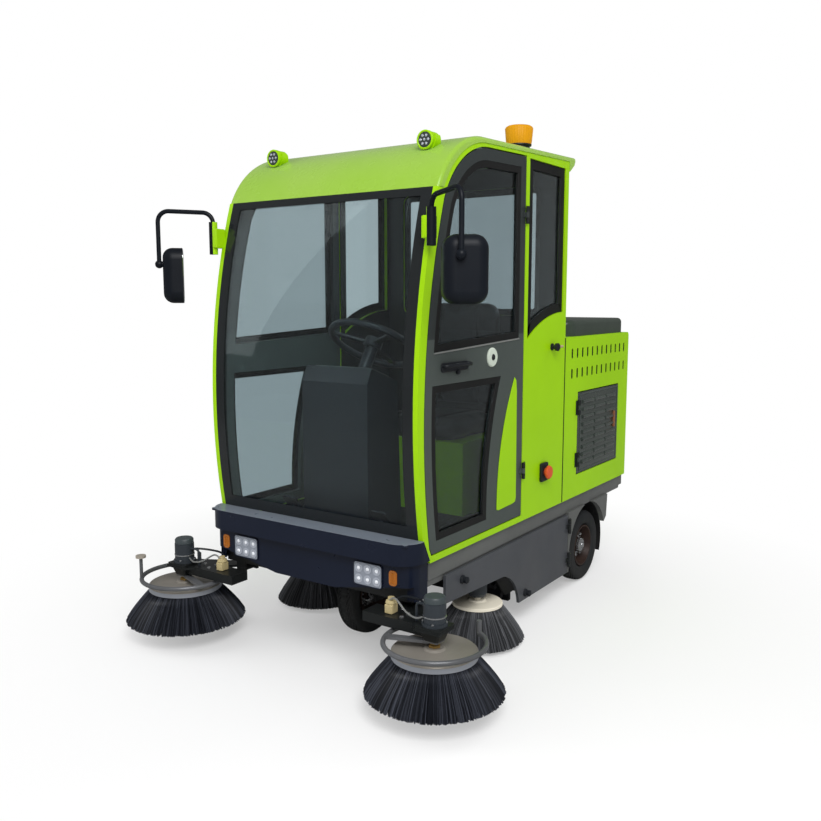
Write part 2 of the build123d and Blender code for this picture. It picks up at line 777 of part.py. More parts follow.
# Skirts


def panel_face():
    """Side view of an access panel, open in front over the middle brush"""
    low, seam = 268.0, PANEL_Y1
    bend0, bend1 = (SILL_Y + 560.0, low - 6.0), (SILL_Y + 707.0, PANEL_Z0)
    return make_face([
        Line((PANEL_Y0, CREASE_Z - 6), (PANEL_Y0, low + 14)),
        Line((PANEL_Y0, low + 14), bend0),
        bowed(bend0, bend1, 34.0),
        Line(bend1, (seam, PANEL_Z0)),
        Line((seam, PANEL_Z0), (seam, CREASE_Z - 6)),
        Line((seam, CREASE_Z - 6), (PANEL_Y0, CREASE_Z - 6)),
    ])


def panel_hinges():
    x = PANEL_X + PANEL_T
    return hinge_pair(x, PANEL_Y1 + 3.0, (170.0, 335.0), 1)


def access_panel():
    """Left access panel with its moving hinge halves"""
    leaf = from_side(panel_face(), PANEL_X, PANEL_X + PANEL_T)
    fixed, moving = panel_hinges()
    return leaf + moving


def side_skirt():
    """Left band under the deck edge and the fixed skirt round the rear wheel arch"""
    y1 = TAIL_Y - 25.0
    y0, x1 = SILL_Y + 6.0, PANEL_X - 2.0
    tail = polygon((y0, CREASE_Z), (y1 - 30.0, CREASE_Z), (y1, SKIRT_TOP), (y0, SKIRT_TOP))
    band = from_side(tail, DECK_HALF, x1)
    seam = PANEL_Y1 + 6.0
    band += block(DECK_HALF, x1 - 4.0, y0, seam, CREASE_Z - 24.0, CREASE_Z)
    rear = from_side(
        polygon(
            (seam, CREASE_Z + 4),
            (seam, PANEL_Z0),
            (REAR_AXLE_Y - 150, PANEL_Z0),
            (REAR_AXLE_Y, PANEL_Z0),
            (REAR_AXLE_Y + ARCH_R + 16, PANEL_Z0 + 180),
            (REAR_AXLE_Y + ARCH_R + 26, CREASE_Z + 4),
        ),
        DECK_HALF, PANEL_X + PANEL_T,
    )
    arch = rod((0, REAR_AXLE_Y, TYRE_R), (2 * HALF, REAR_AXLE_Y, TYRE_R), ARCH_R)
    below = block(0, 2 * HALF, REAR_AXLE_Y - ARCH_R, REAR_AXLE_Y + 2 * ARCH_R, 0, TYRE_R)
    fixed, moving = panel_hinges()
    return band + (rear - arch - below) + fixed


def mud_guard():
    """Black liner over the left rear wheel with a flap behind it"""
    wide, thick = 76.0, 6.0
    section = Pos(DECK_HALF - wide / 2, -ARCH_R - thick / 2) * Rectangle(wide, thick)
    hoop = revolve(Plane.XY * section, axis=Axis.X, revolution_arc=-200.0)
    return Pos(0, REAR_AXLE_Y, TYRE_R) * hoop


# Rear box


def vent_face():
    """Two rows of upright slots, drawn as (Y, Z)"""
    first, last = CAB_REAR_Y + 84.0, TAIL_Y - 68.0
    step = (last - first) / (VENTS - 1)
    slots = None
    for z in VENT_ROWS:
        for n in range(VENTS):
            slot = Pos(first + step * n, z) * SlotOverall(48.0, 18.0, rotation=90)
            slots = slot if slots is None else slots + slot
    return slots


def louvre_rect(grow):
    y0, y1 = LOUVRE_Y0 - grow, LOUVRE_Y1 + grow
    z0, z1 = LOUVRE_Z0 - grow, LOUVRE_Z1 + grow
    return polygon((y0, z0), (y1, z0), (y1, z1), (y0, z1))


def louvre_hinges():
    levels = (LOUVRE_Z0 + 70.0, LOUVRE_Z1 - 70.0)
    return hinge_pair(HALF, LOUVRE_Y0 - 2.5, levels, -1)


def round_tail(shape):
    """Rounds the edge where the top of the rear box meets its back"""
    across = shape.edges().filter_by(Axis.X)
    return fillet(across.sort_by(lambda edge: edge.center().Y + edge.center().Z)[-1], TAIL_ROUND)


def rear_side():
    """Left wall of the rear box with its vents and louvre door opening"""
    y0, y1 = CAB_REAR_Y + 2.0, TAIL_Y
    wall = round_tail(block(HALF - BOX_T, HALF, y0, y1, DECK_Z, BOX_TOP))
    wall -= from_side(louvre_rect(5.0), HALF - BOX_T, HALF)
    wall -= from_side(vent_face(), HALF - BOX_T, HALF)
    fixed, moving = louvre_hinges()
    return wall + fixed


def louvre_door():
    """Left louvre door: plate with rows of pressed hoods"""
    door = from_side(louvre_rect(0), HALF - 16.0, HALF)
    columns = (LOUVRE_Y1 - LOUVRE_Y0 - 80.0) / LOUVRE_COLUMNS
    rows = (LOUVRE_Z1 - LOUVRE_Z0 - 60.0) / LOUVRE_ROWS
    for c in range(LOUVRE_COLUMNS):
        y = LOUVRE_Y0 + 48.0 + columns * (c + 0.5)
        for r in range(LOUVRE_ROWS):
            z = LOUVRE_Z0 + 30.0 + rows * (r + 0.5)
            half = columns / 2 - 8.0
            door += rod((HALF - 2, y - half, z), (HALF - 2, y + half, z), 10.0)
    fixed, moving = louvre_hinges()
    return door + moving


def rear_deck():
    """Top of the rear box with the opening under the lid and the fixed lid hinges"""
    side = HALF - BOX_T
    top = block(-side, side, CAB_REAR_Y + 2.0, TAIL_Y - 24.0, BOX_TOP - 24.0, BOX_TOP)
    top -= block(-LID_HALF + 50, LID_HALF - 50, LID_Y0 + 50, LID_Y1 - 50, 0, 2 * BOX_TOP)
    header = block(-side, side, TAIL_Y - 24.0, TAIL_Y, GATE_Z1 + GATE_GAP, BOX_TOP)
    fixed, moving = lid_hinges()
    return top + round_tail(header) + fixed


LID_HINGE_X = HALF - 210.0


def lid_hinges():
    """Fixed and moving halves of the lid's two hinges"""
    y, z, r = LID_Y0 - 9.0, LID_HINGE_Z, KNUCKLE_R
    fixed, moving = None, None
    for x in (-LID_HINGE_X, LID_HINGE_X):
        still = rod((x - 40, y, z), (x + 40, y, z), PIN_R)
        for x0 in (x - 40, x + 20):
            still += rod((x0, y, z), (x0 + 20, y, z), r)
            still += block(x0, x0 + 20, y - r, y + r, BOX_TOP, z)
        swing = rod((x - 19, y, z), (x + 19, y, z), r)
        swing += block(x - 19, x + 19, y, LID_Y0 + 2.0, z - 5, z + 5)
        swing -= rod((x - 20, y, z), (x + 20, y, z), PIN_R + RUN_FIT)
        fixed = still if fixed is None else fixed + still
        moving = swing if moving is None else moving + swing
    return fixed, moving


def rear_lid():
    """Hollow lid with rounded corners and its moving hinge halves"""
    length = LID_Y1 - LID_Y0
    middle = Pos(0, (LID_Y0 + LID_Y1) / 2)
    outer = from_top(middle * RectangleRounded(2 * LID_HALF, length, 60), BOX_TOP, BOX_TOP + LID_H)
    outer = fillet(outer.faces().sort_by(Axis.Z)[-1].edges(), 22.0)
    inner = from_top(
        middle * RectangleRounded(2 * (LID_HALF - LID_T), length - 2 * LID_T, 54),
        BOX_TOP - 1, BOX_TOP + LID_H - LID_T - 18.0,
    )
    fixed, moving = lid_hinges()
    shell = Pos(0, 0, SEAT_GAP) * (outer - inner)
    return shell + moving


GATE_HALF = HALF - BOX_T - GATE_GAP


def gate_hinges():
    """Fixed and moving halves of the tailgate's hinges, on the right-hand edge"""
    fixed, moving = None, None
    for level in (GATE_Z0 + 120.0, GATE_Z1 - 120.0):
        place = Plane(
            origin=(-GATE_HALF - GATE_GAP / 2, TAIL_Y, level), x_dir=(0, 1, 0), z_dir=(0, 0, 1)
        )
        still, swing = hinge(place)
        fixed = still if fixed is None else fixed + still
        moving = swing if moving is None else moving + swing
    return fixed, moving


def tailgate():
    """Rear door with a stiffened face and a bow handle"""
    leaf = block(-GATE_HALF, GATE_HALF, TAIL_Y - 22.0, TAIL_Y, GATE_Z0, GATE_Z1)
    leaf -= block(-GATE_HALF + 70, GATE_HALF - 70, TAIL_Y - 4, TAIL_Y, GATE_Z0 + 70, GATE_Z1 - 160)
    z = GATE_Z1 - 90.0
    grip = FilletPolyline(
        (GATE_HALF - 40, TAIL_Y - 4, z),
        (GATE_HALF - 40, TAIL_Y + 16, z),
        (GATE_HALF - 160, TAIL_Y + 16, z),
        (GATE_HALF - 160, TAIL_Y - 4, z),
        radius=9.0,
    )
    bow = sweep(Plane(origin=grip @ 0, z_dir=grip % 0) * Circle(5.0), path=grip)
    fixed, moving = gate_hinges()
    return leaf + bow + moving


def right_rear_side():
    fixed, moving = gate_hinges()
    return other_side(rear_side()) + fixed


BUMPER_TOP = DECK_Z - 2.0
TAIL_LAMP = (HALF - 110.0, DECK_Z - 34.0, 130.0, 44.0)


def rear_bumper():
    """Cross beam behind the deck with pockets for the tail lamps"""
    y0, y1 = TAIL_Y - 25.0, REAR - LAMP_PROUD
    beam = block(-DECK_HALF, DECK_HALF, y0, y1, BUMPER_TOP - 60.0, BUMPER_TOP)
    x, z, wide, high = TAIL_LAMP
    face = Pos(x, z) * RectangleRounded(wide + 2 * SEAT_GAP, high + 2 * SEAT_GAP, 10 + SEAT_GAP)
    return beam - both(from_front(face, y1 - 15.0, y1 + 1.0))


def tail_lamps():
    x, z, wide, high = TAIL_LAMP
    face = Pos(x, z) * RectangleRounded(wide, high, 10)
    return both(from_front(face, REAR - LAMP_PROUD - 15.0, REAR))


def battery_block():
    half, y0, y1 = HALF - 180.0, CAB_REAR_Y + 30.0, CAB_REAR_Y + 0.3186 * BOX_LEN
    return block(-half, half, y0, y1, DECK_Z, DECK_Z + 330.0)


def hopper():
    """Open dust bin on the deck"""
    y0, y1, top = CAB_REAR_Y + 0.3554 * BOX_LEN, TAIL_Y - 45.0, BOX_TOP - 220.0
    half, wall = HALF - 170.0, 8.0
    shell = block(-half, half, y0, y1, DECK_Z, top)
    inner = half - wall
    return shell - block(-inner, inner, y0 + wall, y1 - wall, DECK_Z + wall, top + 1)


# Inside the cab


def seat_base():
    y0, y1 = SILL_Y + 620.0, CAB_REAR_Y - BOX_T
    return block(-270, 270, y0, y1, DECK_Z, DECK_Z + 330.0)


def seat_pads():
    """Cushion and backrest"""
    y1 = CAB_REAR_Y - BOX_T
    base = DECK_Z + 330.0
    cushion = block(-230, 230, SILL_Y + 600.0, y1 - 60.0, base, base + 95.0)
    cushion = fillet(cushion.edges().filter_by(Axis.Z), 50)
    cushion = fillet(cushion.faces().sort_by(Axis.Z)[-1].edges(), 30)
    back = Pos(0, y1 - 42.0, base + 360.0) * extrude(
        Plane.XZ * RectangleRounded(420, 520, 70), amount=42, both=True
    )
    back = fillet(back.faces().sort_by(Axis.Y)[0].edges(), 28)
    return cushion + back


def dash_pedestal():
    """Dark console in front of the driver, with the steering column on it"""
    y0, y1 = SILL_Y + 85.0, FRONT_AXLE_Y + 10.0
    side = make_face(Polyline(
        (y0, DECK_Z), (y1, DECK_Z), (y1 - 20, 900), (y1 - 30, 1090), (y0 + 30, 1150),
        (y0, 1090), close=True,
    ))
    body = from_side(side, -165, 165)
    hub = Vector(0, WHEEL_Y, WHEEL_Z)
    way = Vector(0, sin(radians(WHEEL_TILT)), cos(radians(WHEEL_TILT)))
    return body + rod(hub - way * 220.0, hub - way * 20.5, 26.0)


def steering_wheel():
    """Rim, three spokes and hub, made flat and then tilted to the driver"""
    rim_r, tube = 182.0, 14.0
    wheel = Torus(rim_r, tube) + Cylinder(38.0, 40.0)
    for angle in (90.0, 210.0, 330.0):
        wheel += Rot(0, 0, angle) * block(20, rim_r, -13, 13, -5, 5)
    return Pos(0, WHEEL_Y, WHEEL_Z) * Rot(-WHEEL_TILT, 0, 0) * wheel


# Lamps and mirrors


ROOF_LAMP = (HALF - 135.0, GLASS_Y1 + 150.0)
ROOF_LAMP_R = 34.0


def roof_lamps():
    """Two work lamps on feet over the windscreen"""
    x, y = ROOF_LAMP
    z = GLASS_Z1 + 186.0
    shell = rod((x, y - 30, z), (x, y + 24, z), ROOF_LAMP_R)
    shell += rod((x, y + 24, z), (x, y + 36, z), ROOF_LAMP_R * 0.6)
    foot = block(x - 24, x + 24, y - 16, y + 16, GLASS_Z1, z)
    return both(shell + foot - from_side(cab_profile(), -HALF, HALF))


BEACON = (HALF - 64.0, GLASS_Y1 + 722.0)


def beacon():
    """Amber flashing lamp near the left edge of the roof"""
    x, y = BEACON
    base = roof_height(y)
    lamp = Pos(x, y, 0) * turned(polygon(
        (0, base - 20), (44, base - 20), (44, base + 14), (50, base + 18), (57, base + 82),
        (48, base + 92), (0, base + 92),
    ))
    return lamp - from_side(cab_profile(), -HALF, HALF)


MIRROR = (HALF + 190.0, GLASS_Y0 - 42.0, 1513.0)
MIRROR_TURN = 42.0
MIRROR_FACE = 28.0
MIRROR_BACK = 52.0
MIRROR_JOINT = (-25.0, -66.0, 46.0)


def side_mirror():
    """Left mirror: clamp on the pillar, bent tube, ball joint and a head turned to the driver"""
    x, y, z = MIRROR
    turn = Pos(x, y, z) * Rot(0, 0, MIRROR_TURN)
    joint = (turn * Pos(*MIRROR_JOINT)).position
    foot_x, foot_y = HALF + 22.0, GLASS_Y0 + 14.0
    route = FilletPolyline(
        (foot_x, foot_y, z + 95),
        (foot_x, foot_y, z + 252),
        (joint.X, joint.Y, z + 262),
        (joint.X, joint.Y, joint.Z),
        radius=44.0,
    )
    tube = sweep(Plane(origin=route @ 0, z_dir=route % 0) * Circle(9.0), path=route)
    tube += rod((foot_x, foot_y, z + 85), (foot_x, foot_y, z + 215), 17.0)
    tube += Pos(joint) * Sphere(17.0)
    clamp = block(HALF - 10, foot_x, foot_y - 12, foot_y + 34, z + 112, z + 186)
    clamp -= from_side(cab_profile(), HALF - WALL_T, HALF)
    return tube + clamp + turn * mirror_head()


def mirror_head():
    """Mirror shell with a domed back, and the stub of its ball joint, about its own middle"""
    shell = from_front(RectangleRounded(150, 226, 46), -MIRROR_BACK, MIRROR_FACE)
    shell = fillet(shell.faces().sort_by(Axis.Y)[0].edges(), 40)
    x, y, z = MIRROR_JOINT
    return shell + rod((x, y, z), (x, 0, z), 12.0)


def nodes():
    """Every node of the machine by name"""
    front_left = (BRUSH_X, BRUSH_Y)
    mid_left = (MID_X, MID_Y)
    front_disc = (BRUSH_DISC_R, BRUSH_DISC_Z, BRUSH_DISC_T, BRACKET_Z - 0.5)
    front_brush = (BRUSH_DISC_R, BRUSH_R, BRUSH_DISC_Z - BRUSH_DISC_T, BRUSH_TIP_Z)
    mid_disc = (MID_DISC_R, MID_DISC_Z, MID_DISC_T, MID_DISC_Z + MID_SHAFT - 0.5)
    mid_brush = (MID_DISC_R, MID_R, MID_DISC_Z - MID_DISC_T, MID_TIP_Z)
    made = {
        "chassis_frame": chassis_frame(),
        "deck": deck(),
        "rear_axle": rear_axle(),
        "roof_panel": roof_panel(),
        "cab_side_left": cab_side(),
        "cab_side_right": other_side(cab_side()),
        "cab_rear_wall": cab_rear_wall(),
        "windscreen": windscreen(),
        "fixed_windows": fixed_windows(),
        "front_bumper": front_bumper(),
        "headlamps": bumper_lamp(HEADLAMP),
        "turn_lamps": bumper_lamp(TURN_LAMP),
        "side_skirts": both(side_skirt()),
        "mud_guards": both(mud_guard()),
        "rear_side_left": rear_side(),
        "rear_side_right": right_rear_side(),
        "rear_deck": rear_deck(),
        "rear_bumper": rear_bumper(),
        "tail_lamps": tail_lamps(),
        "battery_block": battery_block(),
        "hopper": hopper(),
        "seat_base": seat_base(),
        "seat_pads": seat_pads(),
        "dash_pedestal": dash_pedestal(),
        "roof_lamps": roof_lamps(),
        "beacon": beacon(),
        "mirrors": both(side_mirror()),
        "roller_housing": roller_housing(),
        "mid_motors": both(mid_motor()),
        "steering_wheel": steering_wheel(),
        "steering_fork": steering_fork(),
        "front_tyre": tyre(0, FRONT_AXLE_Y),
        "front_rim": rim(0, FRONT_AXLE_Y, 1),
        "roller_brush": roller_brush(),
        "rear_lid": rear_lid(),
        "brush_arm_left": brush_arm(1),
        "brush_arm_right": brush_arm(-1),
        "tailgate": tailgate(),
    }
    paired = {
        "rear_tyre": tyre(TRACK_X, REAR_AXLE_Y),
        "rear_rim": rim(TRACK_X, REAR_AXLE_Y, 1),
        "brush_motor": brush_motor(),
        "front_disc": brush_disc(*front_left, *front_disc),
        "front_bristles": bristles(*front_left, *front_brush),
        "mid_disc": brush_disc(*mid_left, *mid_disc),
        "mid_bristles": bristles(*mid_left, *mid_brush),
        "cab_door": cab_door(),
        "cab_door_glass": cab_door_glass(),
        "louvre_door": louvre_door(),
        "access_panel": access_panel(),
    }
    for name, shape in paired.items():
        made[name + "_left"] = shape
        made[name + "_right"] = other_side(shape)
    return made


def main():
    os.makedirs("parts", exist_ok=True)
    for name, shape in nodes().items():
        export_step(shape, os.path.join("parts", name + ".step"))


if __name__ == "__main__":
    main()
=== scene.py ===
import math

import bmesh
import bpy
import numpy as np
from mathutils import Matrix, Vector


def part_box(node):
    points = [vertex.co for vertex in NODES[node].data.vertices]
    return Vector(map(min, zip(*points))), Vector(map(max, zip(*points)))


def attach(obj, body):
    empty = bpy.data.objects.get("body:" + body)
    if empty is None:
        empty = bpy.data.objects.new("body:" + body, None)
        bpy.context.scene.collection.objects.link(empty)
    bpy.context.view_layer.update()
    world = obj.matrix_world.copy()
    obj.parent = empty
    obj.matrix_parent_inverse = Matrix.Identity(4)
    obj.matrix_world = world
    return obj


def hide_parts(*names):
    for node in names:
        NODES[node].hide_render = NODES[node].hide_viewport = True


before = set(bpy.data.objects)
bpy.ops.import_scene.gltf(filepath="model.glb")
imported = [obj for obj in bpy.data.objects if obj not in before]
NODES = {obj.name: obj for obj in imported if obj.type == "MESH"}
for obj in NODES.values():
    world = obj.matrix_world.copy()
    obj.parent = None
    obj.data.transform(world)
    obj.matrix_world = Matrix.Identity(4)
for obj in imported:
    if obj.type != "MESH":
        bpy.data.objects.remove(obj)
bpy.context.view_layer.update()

# Floor sweeper with a closed cab. Metres, +Z up, front faces -Y, left side is +X.

SIDES = (("left", 1.0), ("right", -1.0))
X, Y, Z = np.eye(3)
ORIGIN = np.zeros(3)
MM = 0.001


def ends(node):
    """Lowest and highest corner of a CAD node's box"""
    return np.array(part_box(node))


def corner(node, end):
    """Lowest (0) or highest (1) corner of a CAD node's box"""
    return ends(node)[end]


def middle(node):
    """Middle of a CAD node's box"""
    return ends(node).mean(0)


def outer_face(node, way):
    """Place on X of a node's outermost face on one side"""
    return corner(node, 1 if way > 0 else 0)[0]


def both(*makers):
    """Makes the pieces of the left side, then those of the right side"""
    for side, way in SIDES:
        for make in makers:
            make(side, way)


# Places read from the frame
HALF = corner("cab_side_left", 1)[0] - 0.0165
DECK_Z = corner("deck", 1)[2]
BRUSH_X = middle("front_disc_left")[0]
POST_TOP = corner("brush_arm_right", 1)[2]


# Shapes as arrays: each function returns points and faces


def circle(steps):
    """Angles at even steps round a full turn"""
    return np.linspace(0, 2 * np.pi, steps, endpoint=False)


def signed_power(value, exponent):
    """Power of a value's size that keeps the value's sign"""
    return np.sign(value) * np.abs(value) ** exponent


def quads(rows, columns, wrap_rows, wrap_columns):
    """Faces of a grid of points, joined round where it wraps"""
    index = np.arange(rows * columns).reshape(rows, columns)
    if wrap_rows:
        index = np.vstack([index, index[:1]])
    if wrap_columns:
        index = np.hstack([index, index[:, :1]])
    return np.stack(
        [index[:-1, :-1], index[1:, :-1], index[1:, 1:], index[:-1, 1:]], axis=-1
    ).reshape(-1, 4)


def lathe(profile, turns, flute=1.0):
    """Surface of revolution: each (radius, height) of the profile goes round the z axis, with
    the radius multiplied by the flute where it has one"""
    profile = np.asarray(profile, float)
    angle = circle(turns)[None, :]
    radius, height = profile[:, :1] * flute, profile[:, 1:]
    points = np.stack(
        [radius * np.cos(angle), radius * np.sin(angle), height + 0 * angle], axis=-1
    )
    return points.reshape(-1, 3), quads(len(profile), turns, False, True).tolist()


def turned(profile, turns, start=(0.0, 0.0)):
    """Surface of revolution of a profile in millimetres from a start radius and height"""
    return lathe(np.array(profile) * MM + start, turns)


def caps(rows, columns):
    """Faces that close the first and the last row of a grid"""
    last = (rows - 1) * columns
    return [list(range(columns)), list(range(last, last + columns))]


def tube(path, radius, sides):
    """Round section carried along a path, square to its run; the ends are capped"""
    path = np.asarray(path, float)
    run = np.gradient(path, axis=0)
    run /= np.linalg.norm(run, axis=1, keepdims=True)
    spare = np.eye(3)[np.argmin(np.abs(run).max(0))]
    across = np.cross(run, spare)
    across /= np.linalg.norm(across, axis=1, keepdims=True)
    upward = np.cross(run, across)
    angle = circle(sides)[None, :, None]
    radius = np.broadcast_to(np.asarray(radius, float), (len(path),))[:, None, None]
    points = path[:, None] + radius * (
        np.cos(angle) * across[:, None] + np.sin(angle) * upward[:, None]
    )
    faces = quads(len(path), sides, False, True).tolist() + caps(len(path), sides)
    return points.reshape(-1, 3), faces


def inset(outline, amount):
    """Closed outline moved inwards, each corner along the bisector of its two edges"""
    edge = np.roll(outline, -1, 0) - outline
    edge /= np.linalg.norm(edge, axis=1, keepdims=True)
    after = np.stack([-edge[:, 1], edge[:, 0]], axis=1)
    before = np.roll(after, 1, 0)
    spread = 1 + (after * before).sum(1, keepdims=True)
    return outline + amount * (after + before) / spread


def stacked(outline, rows):
    """Points of an outline at each (inset, level) of the rows"""
    return np.vstack([
        np.column_stack([inset(outline, step), np.full(len(outline), level)]) for step, level in rows
    ])


def plate(outline, low, high, round_by):
    """Outline pulled from low to high, with both rims drawn in by the rounding"""
    rows = [(round_by, low), (0.0, low + round_by), (0.0, high - round_by), (round_by, high)]
    faces = quads(len(rows), len(outline), False, True).tolist() + caps(len(rows), len(outline))
    return stacked(outline, rows), faces


def frame_band(outline, wide, low, high, round_by=0.001):
    """Ring that follows a closed outline: a rounded strip section carried round it"""
    section = [
        (0.0, low), (0.0, high - round_by), (round_by, high),
        (wide - round_by, high), (wide, high - round_by), (wide, low),
    ]
    return stacked(outline, section), quads(len(section), len(outline), True, True).tolist()


def rounded(wide, high, corner_r, steps=7):
    """Outline of a rectangle with round corners, counter-clockwise"""
    angle = np.linspace(0, np.pi / 2, steps)
    quarter = corner_r * np.stack([np.cos(angle), np.sin(angle)], axis=1)
    turn = [np.array([[1, 0], [0, 1]]), np.array([[0, 1], [-1, 0]])]
    turn += [-turn[0], -turn[1]]
    centre = np.array([wide / 2 - corner_r, high / 2 - corner_r])
    signs = [(1, 1), (-1, 1), (-1, -1), (1, -1)]
    return np.vstack([quarter @ t + centre * s for t, s in zip(turn, signs)])


def slab(wide, high, corner_r, low, top, round_by):
    """Plate with round corners, in millimetres"""
    return plate(rounded(wide * MM, high * MM, corner_r * MM), low * MM, top * MM, round_by * MM)


def place(shape, at, u, v, w):
    """Shape with its own axes laid along u, v and w at a point"""
    points, faces = shape
    return np.asarray(at, float) + points @ np.array([u, v, w], float), faces


def moved(shape, by):
    """Shape shifted by a vector"""
    return shape[0] + by, shape[1]


def on_side(shape, y, z, way, x=HALF):
    """Shape drawn as (rearwards, up, outwards), put on one side of the machine"""
    return place(shape, (way * x, y, z), Y, Z, way * X)


def along(shape, at, axis):
    """Shape drawn round its own z axis, laid along another axis"""
    axis = np.asarray(axis, float) / np.linalg.norm(axis)
    spare = np.eye(3)[np.argmin(np.abs(axis))]
    u = np.cross(spare, axis)
    u /= np.linalg.norm(u)
    return place(shape, at, u, np.cross(axis, u), axis)


def joined(*shapes):
    """Several shapes as one"""
    start, points, faces = 0, [], []
    for verts, polys in shapes:
        points.append(verts)
        faces += [[i + start for i in face] for face in polys]
        start += len(verts)
    return np.vstack(points), faces


def copies(shape, places):
    """The shape at each of several points, all in one go"""
    points, faces = shape
    places = np.asarray(places, float)
    faces = np.asarray(faces)
    every = points[None] + places[:, None]
    shift = np.arange(len(places))[:, None, None] * len(points)
    return every.reshape(-1, 3), (faces[None] + shift).reshape(-1, faces.shape[1]).tolist()


def curve_through(points, samples):
    """Smooth path through a few points: Catmull-Rom spans worked out as one array"""
    p = np.asarray(points, float)
    p = np.vstack([2 * p[0] - p[1], p, 2 * p[-1] - p[-2]])
    t = np.linspace(0, len(p) - 3 - 1e-9, samples)
    i = t.astype(int)
    f = (t - i)[:, None]
    a, b, c, d = p[i], p[i + 1], p[i + 2], p[i + 3]
    return 0.5 * (2 * b + (c - a) * f + (2 * a - 5 * b + 4 * c - d) * f**2
                  + (3 * b - a - 3 * c + d) * f**3)


def mesh_points(mesh):
    """Points of a mesh as an array"""
    points = np.empty(len(mesh.vertices) * 3)
    mesh.vertices.foreach_get("co", points)
    return points.reshape(-1, 3)


def move_points(mesh, points):
    """Puts the points of a mesh in new places"""
    mesh.vertices.foreach_set("co", points.ravel())
    mesh.update()


def in_scene(name, data):
    """New object at the origin for a mesh, a light or a camera"""
    made = bpy.data.objects.new(name, data)
    bpy.context.scene.collection.objects.link(made)
    return made


def add(name, shape, material, body="chassis", sharp=40.0, merge=True):
    """Mesh object at the origin that rides on a body, with its faces turned outwards"""
    points, faces = shape
    mesh = bpy.data.meshes.new(name)
    mesh.from_pydata(np.asarray(points).tolist(), [], faces)
    if merge:
        cleaned = bmesh.new()
        cleaned.from_mesh(mesh)
        bmesh.ops.remove_doubles(cleaned, verts=cleaned.verts, dist=1e-6)
        bmesh.ops.recalc_face_normals(cleaned, faces=cleaned.faces)
        cleaned.to_mesh(mesh)
        cleaned.free()
    mesh.materials.append(material)
    mesh.shade_smooth()
    mesh.set_sharp_from_angle(angle=math.radians(sharp))
    piece = in_scene(name, mesh)
    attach(piece, body)
    return piece


# Finishes


MIX_FIRST, MIX_SECOND, MIX_RESULT = 6, 7, 2
BEYOND, WITHIN = "GREATER_THAN", "LESS_THAN"
DUST = (160, 130, 100)
DUST_TOP = 0.55
GRAIN_DEPTH = 0.0006


def wire(tree, node, sockets):
    """Fills a node's sockets: another socket is linked, plain numbers are set, and a plain
    colour is given in thousandths of linear light"""
    for key, value in sockets.items():
        if isinstance(value, bpy.types.NodeSocket):
            tree.links.new(value, node.inputs[key])
        elif node.inputs[key].type == "RGBA":
            node.inputs[key].default_value = (*(c / 1000 for c in value), 1.0)
        else:
            node.inputs[key].default_value = value


def new_node(tree, kind, sockets, **settings):
    """Shader node of a kind, with its settings made and its sockets filled"""
    node = tree.nodes.new("ShaderNode" + kind)
    for key, value in settings.items():
        setattr(node, key, value)
    wire(tree, node, sockets)
    return node


def start_material(name):
    """New node material with its shader and Object coordinates"""
    made = bpy.data.materials.new(name)
    made.use_nodes = True
    tree = made.node_tree
    coords = new_node(tree, "TexCoord", {}).outputs["Object"]
    return made, tree, tree.nodes["Principled BSDF"], coords


def noise(tree, coords, scale, detail, stretch=None):
    """Noise on Object coordinates, stretched along an axis where the grain runs"""
    if stretch:
        coords = new_node(tree, "Mapping", {"Vector": coords, "Scale": stretch}).outputs["Vector"]
    sockets = {"Vector": coords, "Scale": scale, "Detail": detail}
    return new_node(tree, "TexNoise", sockets).outputs["Fac"]


def remap(tree, value, from_low, from_high, to_low, to_high):
    """Value carried in a straight line from one range to another"""
    return new_node(tree, "MapRange", {
        "Value": value, "From Min": from_low, "From Max": from_high,
        "To Min": to_low, "To Max": to_high,
    }).outputs["Result"]


def blend_colours(tree, share, first, second):
    """Mix of two colours, each a socket or plain numbers"""
    sockets = {"Factor": share, MIX_FIRST: first, MIX_SECOND: second}
    return new_node(tree, "Mix", sockets, data_type="RGBA").outputs[MIX_RESULT]


def bumpy(tree, shader, height, strength, distance):
    """Fine relief: a height bends the shader's normal"""
    sockets = {"Height": height, "Strength": strength, "Distance": distance}
    wire(tree, shader, {"Normal": new_node(tree, "Bump", sockets).outputs["Normal"]})


def maths(tree, how, first, second=0.0):
    """One operation on two numbers, each a socket or plain"""
    return new_node(tree, "Math", {0: first, 1: second}, operation=how).outputs["Value"]


def separate(tree, coords):
    """X, Y and Z of the coordinates"""
    return new_node(tree, "SeparateXYZ", {"Vector": coords}).outputs


def mixed(tree, share, first, second):
    """Mix of two shader nodes"""
    return new_node(tree, "MixShader", {"Fac": share, 1: first.outputs[0], 2: second.outputs[0]})


def show(tree, shader):
    """Makes a shader node the material's surface"""
    wire(tree, tree.nodes["Material Output"], {"Surface": shader.outputs[0]})


